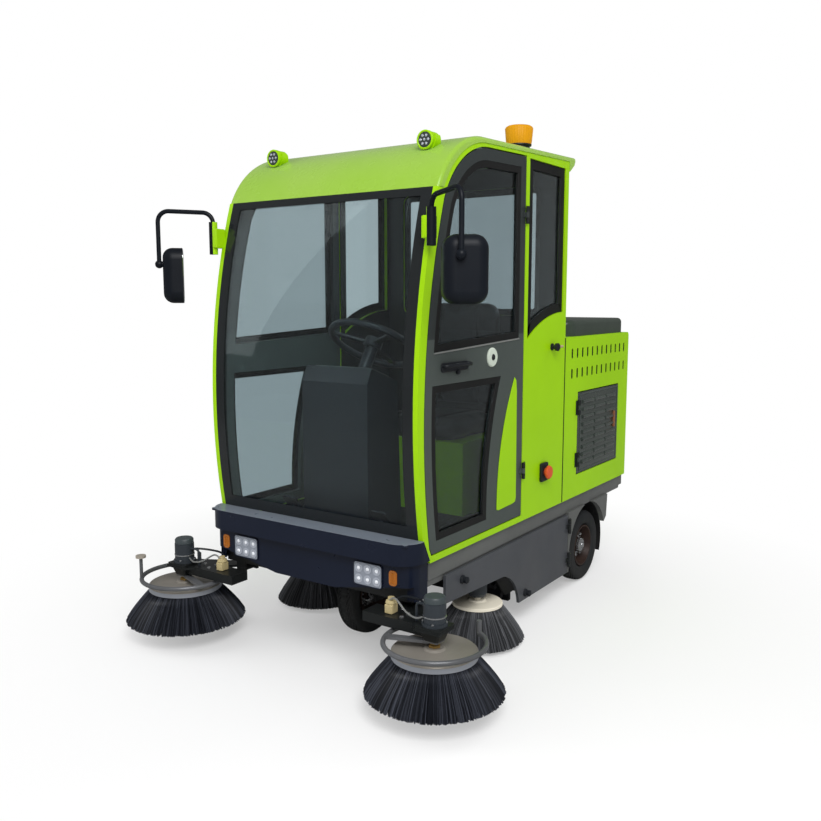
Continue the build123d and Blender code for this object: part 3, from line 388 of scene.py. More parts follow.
def coated(name, colour, shade, rough, grain, bump, metal=0.0, coat=0.0, dust=0.0,
           gloss=0.35, sheen=0.0, stretch=None, zones=()):
    """Paint, plastic or rubber: cloudy colour, uneven gloss, fine grain and dust low down.
    Each zone is a colour and rows of (axis, test, place) that must all hold"""
    made, tree, shader, coords = start_material(name)
    cloud = remap(tree, noise(tree, coords, 3.0, 5.0), 0.3, 0.7, 0.0, 1.0)
    base = blend_colours(tree, cloud, colour, shade)
    axes = separate(tree, coords)
    if dust:
        low = remap(tree, axes["Z"], 0.0, DUST_TOP, 1.0, 0.0)
        patch = remap(tree, noise(tree, coords, 9.0, 6.0), 0.35, 0.75, 0.0, dust)
        base = blend_colours(tree, maths(tree, "MULTIPLY", low, patch), base, DUST)
    for zone_colour, tests in zones:
        inside = 1.0
        for axis, test, edge in tests:
            where = maths(tree, "ABSOLUTE", axes[axis]) if axis == "X" else axes[axis]
            inside = maths(tree, "MULTIPLY", maths(tree, test, where, edge), inside)
        base = blend_colours(tree, inside, base, zone_colour)
    smear = noise(tree, coords, 14.0, 4.0)
    bumpy(tree, shader, noise(tree, coords, grain, 2.0, stretch), bump, GRAIN_DEPTH)
    wire(tree, shader, {
        "Base Color": base, "Metallic": metal, "Specular IOR Level": gloss,
        "Roughness": remap(tree, smear, 0.3, 0.7, max(rough - 0.03, 0.02), rough + 0.04),
        "Coat Weight": coat, "Coat Roughness": 0.06, "Sheen Weight": sheen, "Sheen Roughness": 0.4,
    })
    return made


def strand_finish(name, dark, light):
    """Bristle colour that differs from strand to strand"""
    made, tree, shader, coords = start_material(name)
    shade = new_node(tree, "Attribute", {}, attribute_name="shade").outputs["Fac"]
    wire(tree, shader, {"Base Color": blend_colours(tree, shade, dark, light),
                        "Roughness": 0.45, "Specular IOR Level": 0.2})
    bumpy(tree, shader, noise(tree, coords, 300.0, 2.0), 0.2, 0.0005)
    return made


def lens(name, colour, rough, coat=0.3, gloss=0.5):
    """Moulded clear or tinted plastic with fine ribs"""
    made, tree, shader, coords = start_material(name)
    ripple = noise(tree, coords, 160.0, 1.0)
    base = blend_colours(tree, ripple, colour, tuple(0.82 * c for c in colour))
    wire(tree, shader, {"Base Color": base, "Roughness": rough, "Coat Weight": coat,
                        "Specular IOR Level": gloss})
    bumpy(tree, shader, ripple, 0.25, 0.0008)
    return made


def window_glass(name, tint, edge=None):
    """Clear pane that lets light through; with edge = (half width, low, high) it has a
    black printed border outside those limits"""
    made, tree, shader, coords = start_material(name)
    wire(tree, shader, {"Base Color": tint, "Transmission Weight": 1.0, "IOR": 1.30,
                        "Roughness": 0.0})
    shadow = new_node(tree, "LightPath", {}).outputs["Is Shadow Ray"]
    result = mixed(tree, shadow, shader, new_node(tree, "BsdfTransparent", {"Color": tint}))
    if edge:
        half, low, high = edge
        axes = separate(tree, coords)
        out = maths(tree, BEYOND, maths(tree, "ABSOLUTE", axes["X"]), half)
        for test, level in ((WITHIN, low), (BEYOND, high)):
            out = maths(tree, "MAXIMUM", out, maths(tree, test, axes["Z"], level))
        border = {"Base Color": (12, 14, 15), "Roughness": 0.12}
        result = mixed(tree, out, result, new_node(tree, "BsdfPrincipled", border))
    show(tree, result)
    return made


# Colours and their places

# Dark colour of hinges, raised frames and the insides of the cab; round the vent rows of the rear box
# it is painted shade
DARK_TRIM_AND_SHADE = (16, 18, 18)
GUARD_TOP = 0.2605
ARM_END = BRUSH_X + 0.056
PAINT_GREEN, PAINT_SHADE = (292, 560, 1.2), (270, 525, 1)


def green_paint(name, zones=()):
    """The body colour, dark inside where a zone says so"""
    return coated(name, PAINT_GREEN, PAINT_SHADE, 0.34, 420.0, 0.05, dust=0.08, gloss=0.18, zones=zones)


OUTSIDE = ("X", BEYOND, HALF + 0.0012)
GREEN = green_paint("green_paint")
# Painted reflection and shade: the roof gets its own copy of the body green, paler and bluer for the
# sky's sheen and darker for the stronger light on top
ROOF_GREEN_PAINTED_SHEEN = coated("roof_paint_painted_sheen", (235, 430, 30), (265, 445, 55), 0.26, 420.0, 0.05,
                    coat=0.2, sheen=0.2)
CAB_INSIDE = ("X", WITHIN, HALF - 0.036)
CAB_SHELL = green_paint("cab_shell_paint", ((DARK_TRIM_AND_SHADE, (OUTSIDE,)), (DARK_TRIM_AND_SHADE, (CAB_INSIDE,))))
# Painted shade: round the vent rows the slot walls and the inner face of the rear box are dark, so the
# slots look dark
VENT_SLOT_SHADE = (("X", WITHIN, HALF - 0.0015), ("Y", WITHIN, corner("rear_side_left", 1)[1] - 0.040),
             ("Z", BEYOND, 1.03), ("Z", WITHIN, 1.20))
BOX_SHELL = green_paint("box_shell_paint", ((DARK_TRIM_AND_SHADE, (OUTSIDE,)), (DARK_TRIM_AND_SHADE, VENT_SLOT_SHADE)))
WALL_INSIDE = ("Y", WITHIN, corner("cab_rear_wall", 1)[1] - 0.020)
REAR_WALL = green_paint("green_wall_paint", ((DARK_TRIM_AND_SHADE, (WALL_INSIDE,)),))
DOOR_TOP = ((27, 33, 33), (("Z", BEYOND, 1.275),))
DOOR_GREY = coated("door_frame_paint", (50, 62, 57), (60, 72, 67), 0.40, 420.0, 0.10,
                   zones=(DOOR_TOP,))
LID_GREY = coated("lid_paint", (34, 46, 36), (44, 56, 46), 0.32, 420.0, 0.10)
LOUVRE_GREY = coated("louvre_paint", (34, 44, 38), (46, 56, 50), 0.24, 420.0, 0.08, coat=0.4)
# Painted reflection: the top shelf of the dark bumper is pale blue, as if it mirrored the sky
SHELF_PAINTED_REFLECTION = ((150, 172, 205), (("Z", BEYOND, corner("front_bumper", 1)[2] - 0.0015),))
BUMPER = coated("bumper_paint", (4.5, 7.5, 19), (6, 9.5, 22), 0.30, 500.0, 0.004,
                coat=0.15, gloss=0.25, zones=(SHELF_PAINTED_REFLECTION,))
HINGES = (DARK_TRIM_AND_SHADE, (("X", BEYOND, HALF + 0.0045),))
SKIRT = coated("skirt_paint", (86, 90, 87), (110, 114, 111), 0.34, 380.0, 0.08,
               dust=0.10, zones=(HINGES,))
PANEL_GREY = coated("panel_paint", (48, 52, 60), (62, 66, 74), 0.32, 380.0, 0.08,
                    dust=0.08, zones=(HINGES,))
STEEL_BLACK = coated("frame_paint", (10, 12, 13), (18, 20, 20), 0.45, 260.0, 0.15, dust=0.12)
BLACK = coated("black_plastic", (9, 11, 14), (13, 15, 19), 0.42, 700.0, 0.2)
RUBBER = coated("black_rubber", (6, 7, 7), (10, 10, 10), 0.55, 300.0, 0.15)
TYRE = coated("tyre_rubber", (9, 11, 13), (20, 22, 22), 0.62, 240.0, 0.35, dust=0.08)
RUSTY = coated("rim_rust", (42, 20, 14), (16, 12, 11), 0.50, 120.0, 0.5, metal=0.2, dust=0.1)
HUB = coated("hub_steel", (580, 590, 600), (360, 370, 380), 0.22, 200.0, 0.15, metal=0.9)
ARM_BAR = (DARK_TRIM_AND_SHADE, (("Z", BEYOND, GUARD_TOP), ("X", WITHIN, ARM_END)))
POST_CAP = ((420, 380, 320), (("Z", BEYOND, POST_TOP - 0.0105), ("X", BEYOND, ARM_END)))
ARM_PAINT = coated("arm_paint", (150, 155, 165), (90, 95, 100), 0.32, 260.0, 0.1,
                   metal=0.35, dust=0.1, zones=(ARM_BAR, POST_CAP))
DISC_EDGE = ((340, 360, 400), (("Z", WITHIN, corner("front_disc_left", 1)[2] - 0.034),))
DISC_STEEL = coated("brush_plate_steel", (360, 335, 295), (240, 222, 195), 0.36, 160.0, 0.20,
                    metal=0.4, dust=0.2, zones=(DISC_EDGE,))
DISC_CREAM = coated("cream_plate", (840, 790, 660), (740, 690, 570), 0.50, 160.0, 0.3, dust=0.08)
MOTOR = coated("motor_paint", (20, 26, 33), (30, 37, 45), 0.40, 350.0, 0.15, dust=0.08)
MOTOR_CAP = coated("motor_cap_paint", (48, 60, 64), (38, 48, 52), 0.42, 350.0, 0.2)
BRISTLE = coated("bristle", (10, 11, 14), (24, 25, 29), 0.50, 90.0, 0.5,
                 dust=0.1, stretch=(6.0, 6.0, 0.6))
STRAND = strand_finish("bristle_strand", (6, 7, 10), (52, 57, 74))
MID_STRAND = strand_finish("dusty_strand", (22, 23, 25), (130, 135, 147))
LEATHER = coated("seat_leather", (10, 10, 11), (16, 16, 16), 0.46, 330.0, 0.6)
BRASS = coated("brass", (520, 340, 120), (400, 250, 80), 0.32, 260.0, 0.15, metal=0.9)
CREAM = coated("cream_plastic", (460, 380, 200), (380, 310, 150), 0.45, 300.0, 0.2)
PALE = coated("pale_disc", (520, 580, 500), (450, 500, 430), 0.40, 300.0, 0.1)
TRIM = coated("alloy_trim", (420, 430, 420), (340, 350, 340), 0.35, 400.0, 0.1, metal=0.7)
RED_KNOB = coated("red_button", (600, 85, 20), (500, 65, 15), 0.32, 300.0, 0.05)
LATCH_RED = coated("latch_brown", (240, 90, 40), (180, 70, 30), 0.45, 300.0, 0.1)
AMBER = lens("amber_lens", (400, 125, 10), 0.25)
BEACON = lens("beacon_lens", (640, 285, 3), 0.45, 0.0, gloss=0.15)
RED_LENS = lens("red_lens", (400, 15, 12), 0.18)
CLEAR_LENS = lens("lamp_reflector", (240, 265, 310), 0.22)
LAMP_CUP = lens("lamp_cup", (340, 365, 420), 0.15)
LED = lens("lamp_light", (820, 850, 900), 0.18)
LAMP_GLASS = lens("work_lamp_glass", (35, 45, 40), 0.10)
MIRROR_FOOT = (PAINT_GREEN, (("X", WITHIN, HALF + 0.012),))
MIRROR_BLACK = coated("mirror_shell", (4, 5.5, 9), (6, 8, 12), 0.42, 700.0, 0.15,
                      gloss=0.18, zones=(MIRROR_FOOT,))
MIRROR = coated("mirror_face", (700, 720, 740), (660, 680, 700), 0.04, 50.0, 0.0, metal=1.0)

SCREEN_LOW, SCREEN_HIGH = ends("windscreen")
FRIT = 0.046
SCREEN = window_glass(
    "windscreen_glass", (600, 680, 700),
    (SCREEN_HIGH[0] - FRIT, SCREEN_LOW[2] + FRIT, SCREEN_HIGH[2] - 0.03),
)
GLASS = window_glass("door_glass", (360, 420, 440))
FIXED_GLASS = window_glass("fixed_glass", (500, 570, 590))

FINISH = (
    (STEEL_BLACK, "chassis_frame deck rear_axle roller_housing steering_fork"),
    (GREEN, "rear_deck seat_base roof_lamps tailgate"),
    (BLACK, "battery_block dash_pedestal steering_wheel"),
    (SKIRT, "side_skirts rear_bumper hopper"),
    (CAB_SHELL, "cab_side_left cab_side_right"),
    (BOX_SHELL, "rear_side_left rear_side_right"),
    (RUSTY, "front_rim rear_rim_left rear_rim_right"),
    (MOTOR, "mid_motors brush_motor_left brush_motor_right"),
    (ARM_PAINT, "brush_arm_left brush_arm_right"),
    (DISC_STEEL, "front_disc_left front_disc_right"),
    (DISC_CREAM, "mid_disc_left mid_disc_right"),
    (DOOR_GREY, "cab_door_left cab_door_right"),
    (GLASS, "cab_door_glass_left cab_door_glass_right"),
    (LOUVRE_GREY, "louvre_door_left louvre_door_right"),
    (PANEL_GREY, "access_panel_left access_panel_right"),
    (ROOF_GREEN_PAINTED_SHEEN, "roof_panel"), (REAR_WALL, "cab_rear_wall"), (SCREEN, "windscreen"),
    (FIXED_GLASS, "fixed_windows"), (BUMPER, "front_bumper"), (CLEAR_LENS, "headlamps"),
    (AMBER, "turn_lamps"), (RUBBER, "mud_guards"), (RED_LENS, "tail_lamps"), (BEACON, "beacon"),
    (MIRROR_BLACK, "mirrors"), (BRISTLE, "roller_brush"), (LID_GREY, "rear_lid"),
)


def dress_nodes():
    """Gives each CAD node that stays in view its finish"""
    for finish, nodes in FINISH:
        for node in nodes.split():
            slots = NODES[node].data.materials
            slots.clear()
            slots.append(finish)


dress_nodes()


# Wheels


TYRE_BEAD = 0.104
TREAD_DEPTH = 0.006
TREAD_COUNT = 36
TYRE_GRID = 72, 216


def tyre_piece(name, node, body):
    """Tyre as a torus-like grid: section angle against wheel angle, where the crown is cut
    by slanting grooves that alternate left and right of a centre groove"""
    low, high = ends(node)
    centre = (low + high) / 2
    outer, half = (high[2] - low[2]) / 2, (high[0] - low[0]) / 2
    rows, turns = TYRE_GRID
    around = circle(turns)[None, :]
    section = circle(rows)[:, None]
    power = 2.0 / 3.4
    wide = signed_power(np.cos(section), power)
    tall = signed_power(np.sin(section), power)
    radius = (outer + TYRE_BEAD) / 2 + (outer - TYRE_BEAD) / 2 * tall
    crown = np.clip((tall - 0.72) / 0.2, 0, 1)
    slant = np.cos(TREAD_COUNT * around + 26.0 * wide * np.sign(wide))
    groove = np.clip((slant - 0.45) / 0.2, 0, 1) * (np.abs(wide) > 0.16)
    middle_groove = (np.abs(np.abs(wide) - 0.12) < 0.05) * np.ones_like(around)
    radius = radius - TREAD_DEPTH * crown * np.maximum(groove, middle_groove)
    points = np.stack(
        [half * wide + 0 * around, radius * np.cos(around), radius * np.sin(around)], axis=-1
    )
    shape = points.reshape(-1, 3) + centre, quads(rows, turns, True, True).tolist()
    piece = add(name, shape, TYRE, body, sharp=50.0)
    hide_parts(node)


NUT_CIRCLE = 0.056


def wheel_trim(name, node, body, side):
    """Bright flange, hub cap and wheel nuts on the outer face of a rim's web"""
    flange = turned([(39, -10), (72, -11), (72, -5), (69, -3), (42, -2), (39, -4)], 40)
    cap = turned([(32.5, 6), (34.5, 8), (34.5, 26), (29, 31), (16, 32), (13, 37), (0, 38)], 32)
    nut = turned([(0, -4), (9, -4), (9, 9), (6, 13), (0, 13)], 6)
    angle = circle(6)
    spots = NUT_CIRCLE * np.stack([-np.sin(angle), np.cos(angle), 0 * angle], axis=1)
    trim = joined(flange, cap, copies(nut, spots))
    add(name, along(trim, middle(node), side * X), HUB, body)


tyre_piece("front_tyre_tread", "front_tyre", "front_wheel")
wheel_trim("front_wheel_trim", "front_rim", "front_wheel", 1.0)
for side, way in SIDES:
    tyre_piece(f"rear_tyre_tread_{side}", f"rear_tyre_{side}", f"rear_wheel_{side}")
    wheel_trim(f"rear_wheel_trim_{side}", f"rear_rim_{side}", f"rear_wheel_{side}", way)


# Brushes


STRAND_ROWS = 5


def bristle_strands(name, node, disc, count, body, finish, seed):
    """Thin tapered strands from the edge of a brush plate: each strand is a three-sided tube
    whose middle line bows outwards by a cubic as it falls, with its own lean, length and shade"""
    low, high = ends(node)
    centre = (low + high) / 2
    tip_r = (high[0] - low[0]) / 2
    root_r = (corner(disc, 1)[0] - corner(disc, 0)[0]) / 2 - 0.004
    draw = np.random.default_rng(seed)
    layer = draw.random(count)
    start = draw.random(count) * 2 * np.pi
    lean = draw.normal(0, 0.010, count)
    reach = tip_r * (0.70 + 0.30 * layer**0.6) - np.abs(draw.normal(0, 0.0012, count)) - 0.003
    root = root_r * (0.70 + 0.30 * layer)
    drop = low[2] + 0.001 + np.abs(draw.normal(0, 0.0015, count))
    step = np.linspace(0, 1, STRAND_ROWS)[None, :]
    fall = high[2] - (high[2] - drop[:, None]) * step
    flare = root[:, None] + (reach - root)[:, None] * (1.15 * step - 0.15 * step**3)
    turn = start[:, None] + lean[:, None] * step
    line = np.stack([flare * np.cos(turn), flare * np.sin(turn), fall], axis=-1)
    thick = 0.0019 * (1 + 0.25 * step[..., None, None])
    side_angle = circle(3)
    outward = np.stack([np.cos(start), np.sin(start), 0 * start], axis=-1)
    sideways = np.stack([-np.sin(start), np.cos(start), 0 * start], axis=-1)
    offset = (np.cos(side_angle)[None, :, None] * outward[:, None]
              + np.sin(side_angle)[None, :, None] * sideways[:, None])
    points = line[:, :, None] + thick * offset[:, None]
    points[..., :2] += centre[:2]
    each = 3 * STRAND_ROWS
    first = np.arange(count)[:, None] * each
    faces = (quads(STRAND_ROWS, 3, False, True)[None] + first[..., None]).reshape(-1, 4).tolist()
    faces += (first + [[0, 1, 2]]).tolist() + (first + [[each - 1, each - 2, each - 3]]).tolist()
    piece = add(name, (points.reshape(-1, 3), faces), finish, body, 70.0, merge=False)
    shade = piece.data.attributes.new("shade", "FLOAT", "POINT")
    shade.data.foreach_set("value", np.repeat(draw.random(count) ** 1.6, each))
    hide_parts(node)


for number, (side, _) in enumerate(SIDES):
    bristle_strands(f"front_strands_{side}", f"front_bristles_{side}", f"front_disc_{side}", 5600,
                    f"front_brush_{side}", STRAND, 11 + number)
    bristle_strands(f"mid_strands_{side}", f"mid_bristles_{side}", f"mid_disc_{side}", 4400,
                    f"mid_brush_{side}", MID_STRAND, 21 + number)


MOTOR_H = 0.102
MOTOR_R = 0.040
ARM_TOP = 0.305
TERMINAL_AT = np.array([0.430, -0.915, ARM_TOP])
# Radius and finish of each lead, then its stops in millimetres from the block and from the motor
LEADS = (
    ("pale_lead", 0.0035, TRIM, ((0, -10, 50), (30, -16, 62), (85, -30, 30)),
     ((-30, -12, 12), (2, -8, 22))),
    ("dark_lead", 0.0045, BLACK, ((0, 12, 40), (35, 30, 58), (100, 30, 60)),
     ((-20, 20, 60), (4, 12, 55))),
)


def motor_trim(side, way):
    """Cap, band and screws of a front brush motor, its shaft coupling, the terminal block on
    the arm and two leads between them"""
    disc, motor = f"front_disc_{side}", f"brush_motor_{side}"
    centre, body = middle(disc), f"brush_arm_{side}"
    top, seat = corner(motor, 1)[2], corner(motor, 1)[2] - MOTOR_H
    spot = np.array([centre[0], centre[1], 0.0])
    cap = turned([(-5.5, -21), (-1.5, -20), (-1.5, -5), (-6, 0.6), (-40, 0.6), (-40, -4), (-5.5, -4)],
                 40, (MOTOR_R, top))
    add(f"motor_cap_{side}", moved(cap, spot), MOTOR_CAP, body)
    band = turned([(-0.5, 30), (1.8, 31), (1.8, 35), (-0.5, 36)], 40, (MOTOR_R, seat))
    screw = turned([(0, 9), (4.5, 9), (4.5, 14), (2.5, 16), (0, 16)], 6)
    angle = 0.4 + circle(4)
    ring_r = MOTOR_R + 0.001
    spots = np.stack([ring_r * np.cos(angle), ring_r * np.sin(angle), seat + 0 * angle], axis=1)
    trim = joined(band, copies(screw, spots))
    add(f"motor_screws_{side}", moved(trim, spot), HUB, body)
    shaft = corner(disc, 1)[2]
    nut = turned([(14.5, -19), (22, -19), (22, -11), (17.5, -8), (17.5, -1), (14.5, -1)], 6, (0, shaft))
    add(f"brush_coupling_{side}", moved(nut, spot), BRASS, f"front_brush_{side}",
        sharp=20.0)
    at = TERMINAL_AT * (way, 1, 1)
    block = moved(slab(34, 40, 5, 0, 34, 3), at)
    collar = turned([(0, 34), (19, 34), (21, 38), (19, 46), (12, 49), (12, 58), (0, 58)], 20)
    add(f"terminal_block_{side}", joined(block, along(collar, at, Z)), CREAM, body)
    inner = spot + (-way * MOTOR_R, 0, seat)
    for name, thick, finish, near, far in LEADS:
        outward = MM * np.array([way, 1, 1])
        stops = np.vstack([at + outward * near, inner + outward * far])
        add(f"{name}_{side}", tube(curve_through(stops, 40), thick, 8), finish, body)


both(motor_trim)


# Glass surrounds


def pane_outline(node, inner, axis, value):
    """Outline of a flat pane read from its node, counter-clockwise. inner picks points by
    their place, and value is where the pane's outer face lies on the axis across it"""
    points = mesh_points(NODES[node].data)
    points = points[inner(points) & (np.abs(points[:, axis] - value) < 1e-4)]
    flat = np.unique(np.delete(points, axis, axis=1).round(4), axis=0)
    away = flat - flat.mean(0)
    return flat[np.argsort(np.arctan2(away[:, 1], away[:, 0]))]


WAIST = 1.17
REAR_PANE_X = 0.45
SEAL_LOW = 0.0004


def side_windows(side, way):
    """Black surrounds of the door panes and the quarter pane on one side"""
    door, glass = f"cab_door_{side}", f"cab_door_glass_{side}"
    face = outer_face(glass, way)
    shapes = []
    for inner in (lambda p: p[:, 2] > WAIST, lambda p: p[:, 2] < WAIST):
        outline = pane_outline(glass, inner, 0, face)
        shapes.append(place(frame_band(outline, 0.026, SEAL_LOW, 0.0105), (face, 0, 0), Y, Z, way * X))
    add(f"door_seals_{side}", joined(*shapes), RUBBER, door)
    quarter = outer_face("fixed_windows", way)
    outline = pane_outline("fixed_windows", lambda p: np.abs(p[:, 0]) > REAR_PANE_X, 0, quarter)
    band = place(frame_band(outline, 0.040, SEAL_LOW, 0.0085), (quarter, 0, 0), Y, Z, way * X)
    add(f"quarter_seal_{side}", band, RUBBER)


both(side_windows)


def rear_window_seal():
    """Rubber surround of the rear pane, on its outside"""
    points = mesh_points(NODES["fixed_windows"].data)
    face = points[np.abs(points[:, 0]) < REAR_PANE_X, 1].max()
    outline = pane_outline("fixed_windows", lambda p: np.abs(p[:, 0]) < REAR_PANE_X, 1, face)
    band = place(frame_band(outline, 0.030, SEAL_LOW, 0.011), (0, face, 0), X, Z, Y)
    add("rear_window_seal", band, RUBBER)


rear_window_seal()


# Doors


HANDLE_AT = -0.624, 1.172
LOCK_AT = -0.345, 1.190


def door_fittings(side, way):
    """Handle, lock disc and green inlay of a cab door"""
    body = f"cab_door_{side}"
    plate_shape = slab(190, 34, 12, 0, 5, 1.5)
    grip = MM * curve_through([(-85, 6, 0), (-80, 7, 24), (0, 9, 32), (75, 7, 26), (84, 6, 0)], 28)
    lever = tube(grip, 0.0075, 10)
    keyhole = along(turned([(0, 0), (11, 0), (11, 8), (8, 10), (0, 10)], 20),
                    (0.02, -0.020, 0.0), Z)
    handle = joined(plate_shape, lever, keyhole)
    add(f"door_handle_{side}", on_side(handle, *HANDLE_AT, way), BLACK, body)
    disc = turned([(12, 0), (38, 0), (38, 4), (34, 8), (14, 9), (12, 6)], 40)
    add(f"lock_disc_{side}", on_side(disc, *LOCK_AT, way), PALE, body)
    barrel = turned([(0, 0), (11.8, 0), (11.8, 7), (9, 12), (0, 12)], 24)
    add(f"lock_barrel_{side}", on_side(barrel, *LOCK_AT, way), BLACK, body)
    add(f"door_inlay_{side}", on_side(plate(leaf_outline(), 0.0, 0.0035, 0.0015), 0, 0, way),
        GREEN, body)


def leaf_outline(steps=36):
    """Leaf shape of the inlay: an arc up its front edge, then straight down behind and along
    the foot, drawn as (Y, Z)"""
    foot, tip = np.array([-0.291, 0.563]), np.array([-0.150, 1.096])
    t = np.linspace(0, 1, steps)[:, None]
    chord = foot + (tip - foot) * t
    run = (tip - foot) / np.linalg.norm(tip - foot)
    bow = 4 * 0.038 * t * (1 - t) * np.array([-run[1], run[0]])
    front = chord + bow
    back = MM * np.array([(-137, 1085), (-130, 1040), (-128, 900), (-126, 700), (-125, 585),
                          (-132, 566), (-155, 562), (-220, 560), (-275, 558)])
    return np.vstack([front, back])[::-1]


both(door_fittings)


def waist_trim(side, way):
    """Bright strip along the foot of the upper door pane"""
    glass = f"cab_door_glass_{side}"
    face = outer_face(glass, way)
    outline = pane_outline(glass, lambda p: p[:, 2] > WAIST, 0, face)
    front = outline[np.argmin(outline.sum(1))]
    rear = outline[np.argmax(outline[:, 0] - outline[:, 1])]
    run = np.linspace(front, rear, 12)
    path = np.column_stack([np.full(12, way * (HALF + 0.0005)), run[:, 0], run[:, 1] - 0.004])
    add(f"waist_trim_{side}", tube(path, 0.0032, 8), TRIM, f"cab_door_{side}")


both(waist_trim)


# Cab side and rear box fittings


STOP_AT = 0.136, 0.650
BUTTON_AT = 0.140, 0.650
KNOB_AT = 0.205, 1.205


def cab_side_fittings(side, way):
    """Emergency stop and latch knob behind the door"""
    back = slab(66, 84, 8, 0, 14, 3)
    add(f"stop_plate_{side}", on_side(back, *STOP_AT, way), BLACK)
    mushroom = turned([(0, 14), (18, 14), (18, 22), (30, 25), (31, 31), (26, 37), (0, 39)], 36)
    add(f"stop_button_{side}", on_side(mushroom, *BUTTON_AT, way), RED_KNOB)
    knob = turned([(0, 0), (16, 0), (16, 5), (10, 8), (10, 16), (17, 20), (18, 32), (12, 37), (0, 37)],
                  32)
    add(f"latch_knob_{side}", on_side(knob, *KNOB_AT, way), BLACK)
    pin = along(turned([(0, 8), (6, 8), (6, 52), (4, 56), (0, 56)], 14),
                (way * (HALF + 0.026), 0.210, 1.206), Y)
    add(f"latch_pin_{side}", pin, CREAM)


def louvre_fittings(side, way):
    """Catch and rim bead of a louvre door"""
    node = f"louvre_door_{side}"
    low, high = ends(node)
    y, z = high[1] - 0.062, (low[2] + high[2]) / 2 + 0.02
    catch = slab(13, 85, 5, 0, 12, 3)
    add(f"louvre_catch_{side}", on_side(catch, y, z, way), LATCH_RED, node)
    y0 = low[1] + 0.029
    outline = rounded(high[1] - y0 - 0.012, high[2] - low[2] - 0.012, 0.008)
    bead = frame_band(outline, 0.007, -0.001, 0.003)
    add(f"louvre_bead_{side}", on_side(bead, (high[1] + y0) / 2, (low[2] + high[2]) / 2, way),
        DOOR_GREY, node)


PANEL_FACE = 0.512
PANEL_KNOBS = (-0.560, 0.345), (-0.020, 0.135)


def panel_fittings(side, way):
    """Turn knobs of an access panel"""
    node = f"access_panel_{side}"
    knob = turned([(0, 0), (17, 0), (17, 6), (12, 10), (14, 24), (9, 28), (0, 28)], 24)
    shapes = [on_side(knob, y, z, way, PANEL_FACE) for y, z in PANEL_KNOBS]
    add(f"panel_knobs_{side}", joined(*shapes), BLACK, node)


both(cab_side_fittings, louvre_fittings, panel_fittings)


# Lamps


def headlamp_parts():
    """Six round cups with a bright dome in each on both front lamps, and the lamps' bezels"""
    low, high = ends("headlamps")
    face, z = low[1], (low[2] + high[2]) / 2
    wide = 0.130
    spread = np.array([(x, 0.0, h) for h in (-0.020, 0.020) for x in (-0.041, 0.0, 0.041)])
    cup = turned([(15, -1), (17.5, 0), (17, 1.8), (14.5, 2.4), (7.5, 0.6), (7.5, -1)], 24)
    dome = turned([(7.4, 0), (7, 2), (4, 4.2), (0, 5)], 20)
    bezel = frame_band(rounded(wide + 0.004, 0.092, 0.014), 0.004, -0.003, 0.0025)
    cups, domes, bezels = [], [], []
    for _, way in SIDES:
        at = np.array([way * (high[0] - wide / 2), face, z])
        cups.append(copies(along(cup, ORIGIN, -Y), spread + at))
        domes.append(copies(along(dome, ORIGIN, -Y), spread + at))
        bezels.append(place(bezel, at, X, Z, -Y))
    add("headlamp_cups", joined(*cups), LAMP_CUP)
    add("headlamp_lights", joined(*domes), LED)
    add("headlamp_bezels", joined(*bezels), BUMPER)


def turn_lamp_ribs():
    """Upright ribs moulded on the turn lamps"""
    low, high = ends("turn_lamps")
    wide, face = 0.034, low[1]
    rib = np.array([(0, 0, t) for t in np.linspace(low[2] + 0.008, high[2] - 0.008, 5)])
    shapes = []
    for _, way in SIDES:
        for step in (-0.009, -0.003, 0.003, 0.009):
            x = way * (high[0] - wide / 2) + step
            shapes.append(tube(rib + np.array([x, face, 0]), 0.0022, 8))
    add("turn_lamp_ribs", joined(*shapes), AMBER)


LAMP_R = 0.034


def roof_lamp_parts():
    """Glass with seven small lights, ring and bracket cheeks of each roof lamp"""
    low, high = ends("roof_lamps")
    face = low[1]
    x, z = high[0] - LAMP_R, high[2] - LAMP_R
    rim = turned([(1.2, -14), (1.2, 1), (-3, 3), (-6, 1), (-6, -2)], 48, (LAMP_R, 0))
    glass = lathe([(LAMP_R - 0.005, 0.0), (LAMP_R * 0.6, 0.003), (0, 0.0045)], 48)
    bead = along(turned([(5.2, 1), (5.2, 4), (3, 6.2), (0, 6.8)], 12), ORIGIN, -Y)
    spread = circle(6)
    beads = 0.0165 * np.stack([np.cos(spread), 0 * spread, np.sin(spread)], axis=1)
    beads = np.vstack([beads, np.zeros((1, 3))])
    cheeks = [np.linspace(a, a + 0.46, 20) * np.pi for a in (-0.30, 0.84)]
    for side, way in SIDES:
        at = np.array([way * x, face, z])
        add(f"roof_lamp_ring_{side}", along(rim, at, -Y), GREEN)
        add(f"roof_lamp_glass_{side}", along(glass, at, -Y), LAMP_GLASS)
        add(f"roof_lamp_lights_{side}", copies(bead, beads + at), LAMP_CUP)
        straps = []
        for angle in cheeks:
            hoop = np.stack([at[0] + (LAMP_R + 0.001) * np.cos(angle), np.full(20, face + 0.030),
                             z + (LAMP_R + 0.001) * np.sin(angle)], axis=1)
            straps.append(ribbon(hoop, at[[0, 2]], 0.036, 0.005))
        add(f"roof_lamp_straps_{side}", joined(*straps), GREEN)


def ribbon(path, centre, wide, thick):
    """Flat strap that follows a path round a centre in the XZ plane: its section is a
    rectangle, wide along Y and thick away from the centre"""
    away = path[:, [0, 2]] - centre
    away /= np.linalg.norm(away, axis=1, keepdims=True)
    out = np.stack([away[:, 0], 0 * away[:, 0], away[:, 1]], axis=1)
    corners = [(-wide / 2, 0), (wide / 2, 0), (wide / 2, thick), (-wide / 2, thick)]
    points = np.stack([path + a * Y + b * out for a, b in corners], axis=1)
    faces = quads(len(path), 4, False, True).tolist() + caps(len(path), 4)
    return points.reshape(-1, 3), faces


BEACON_H = 0.092


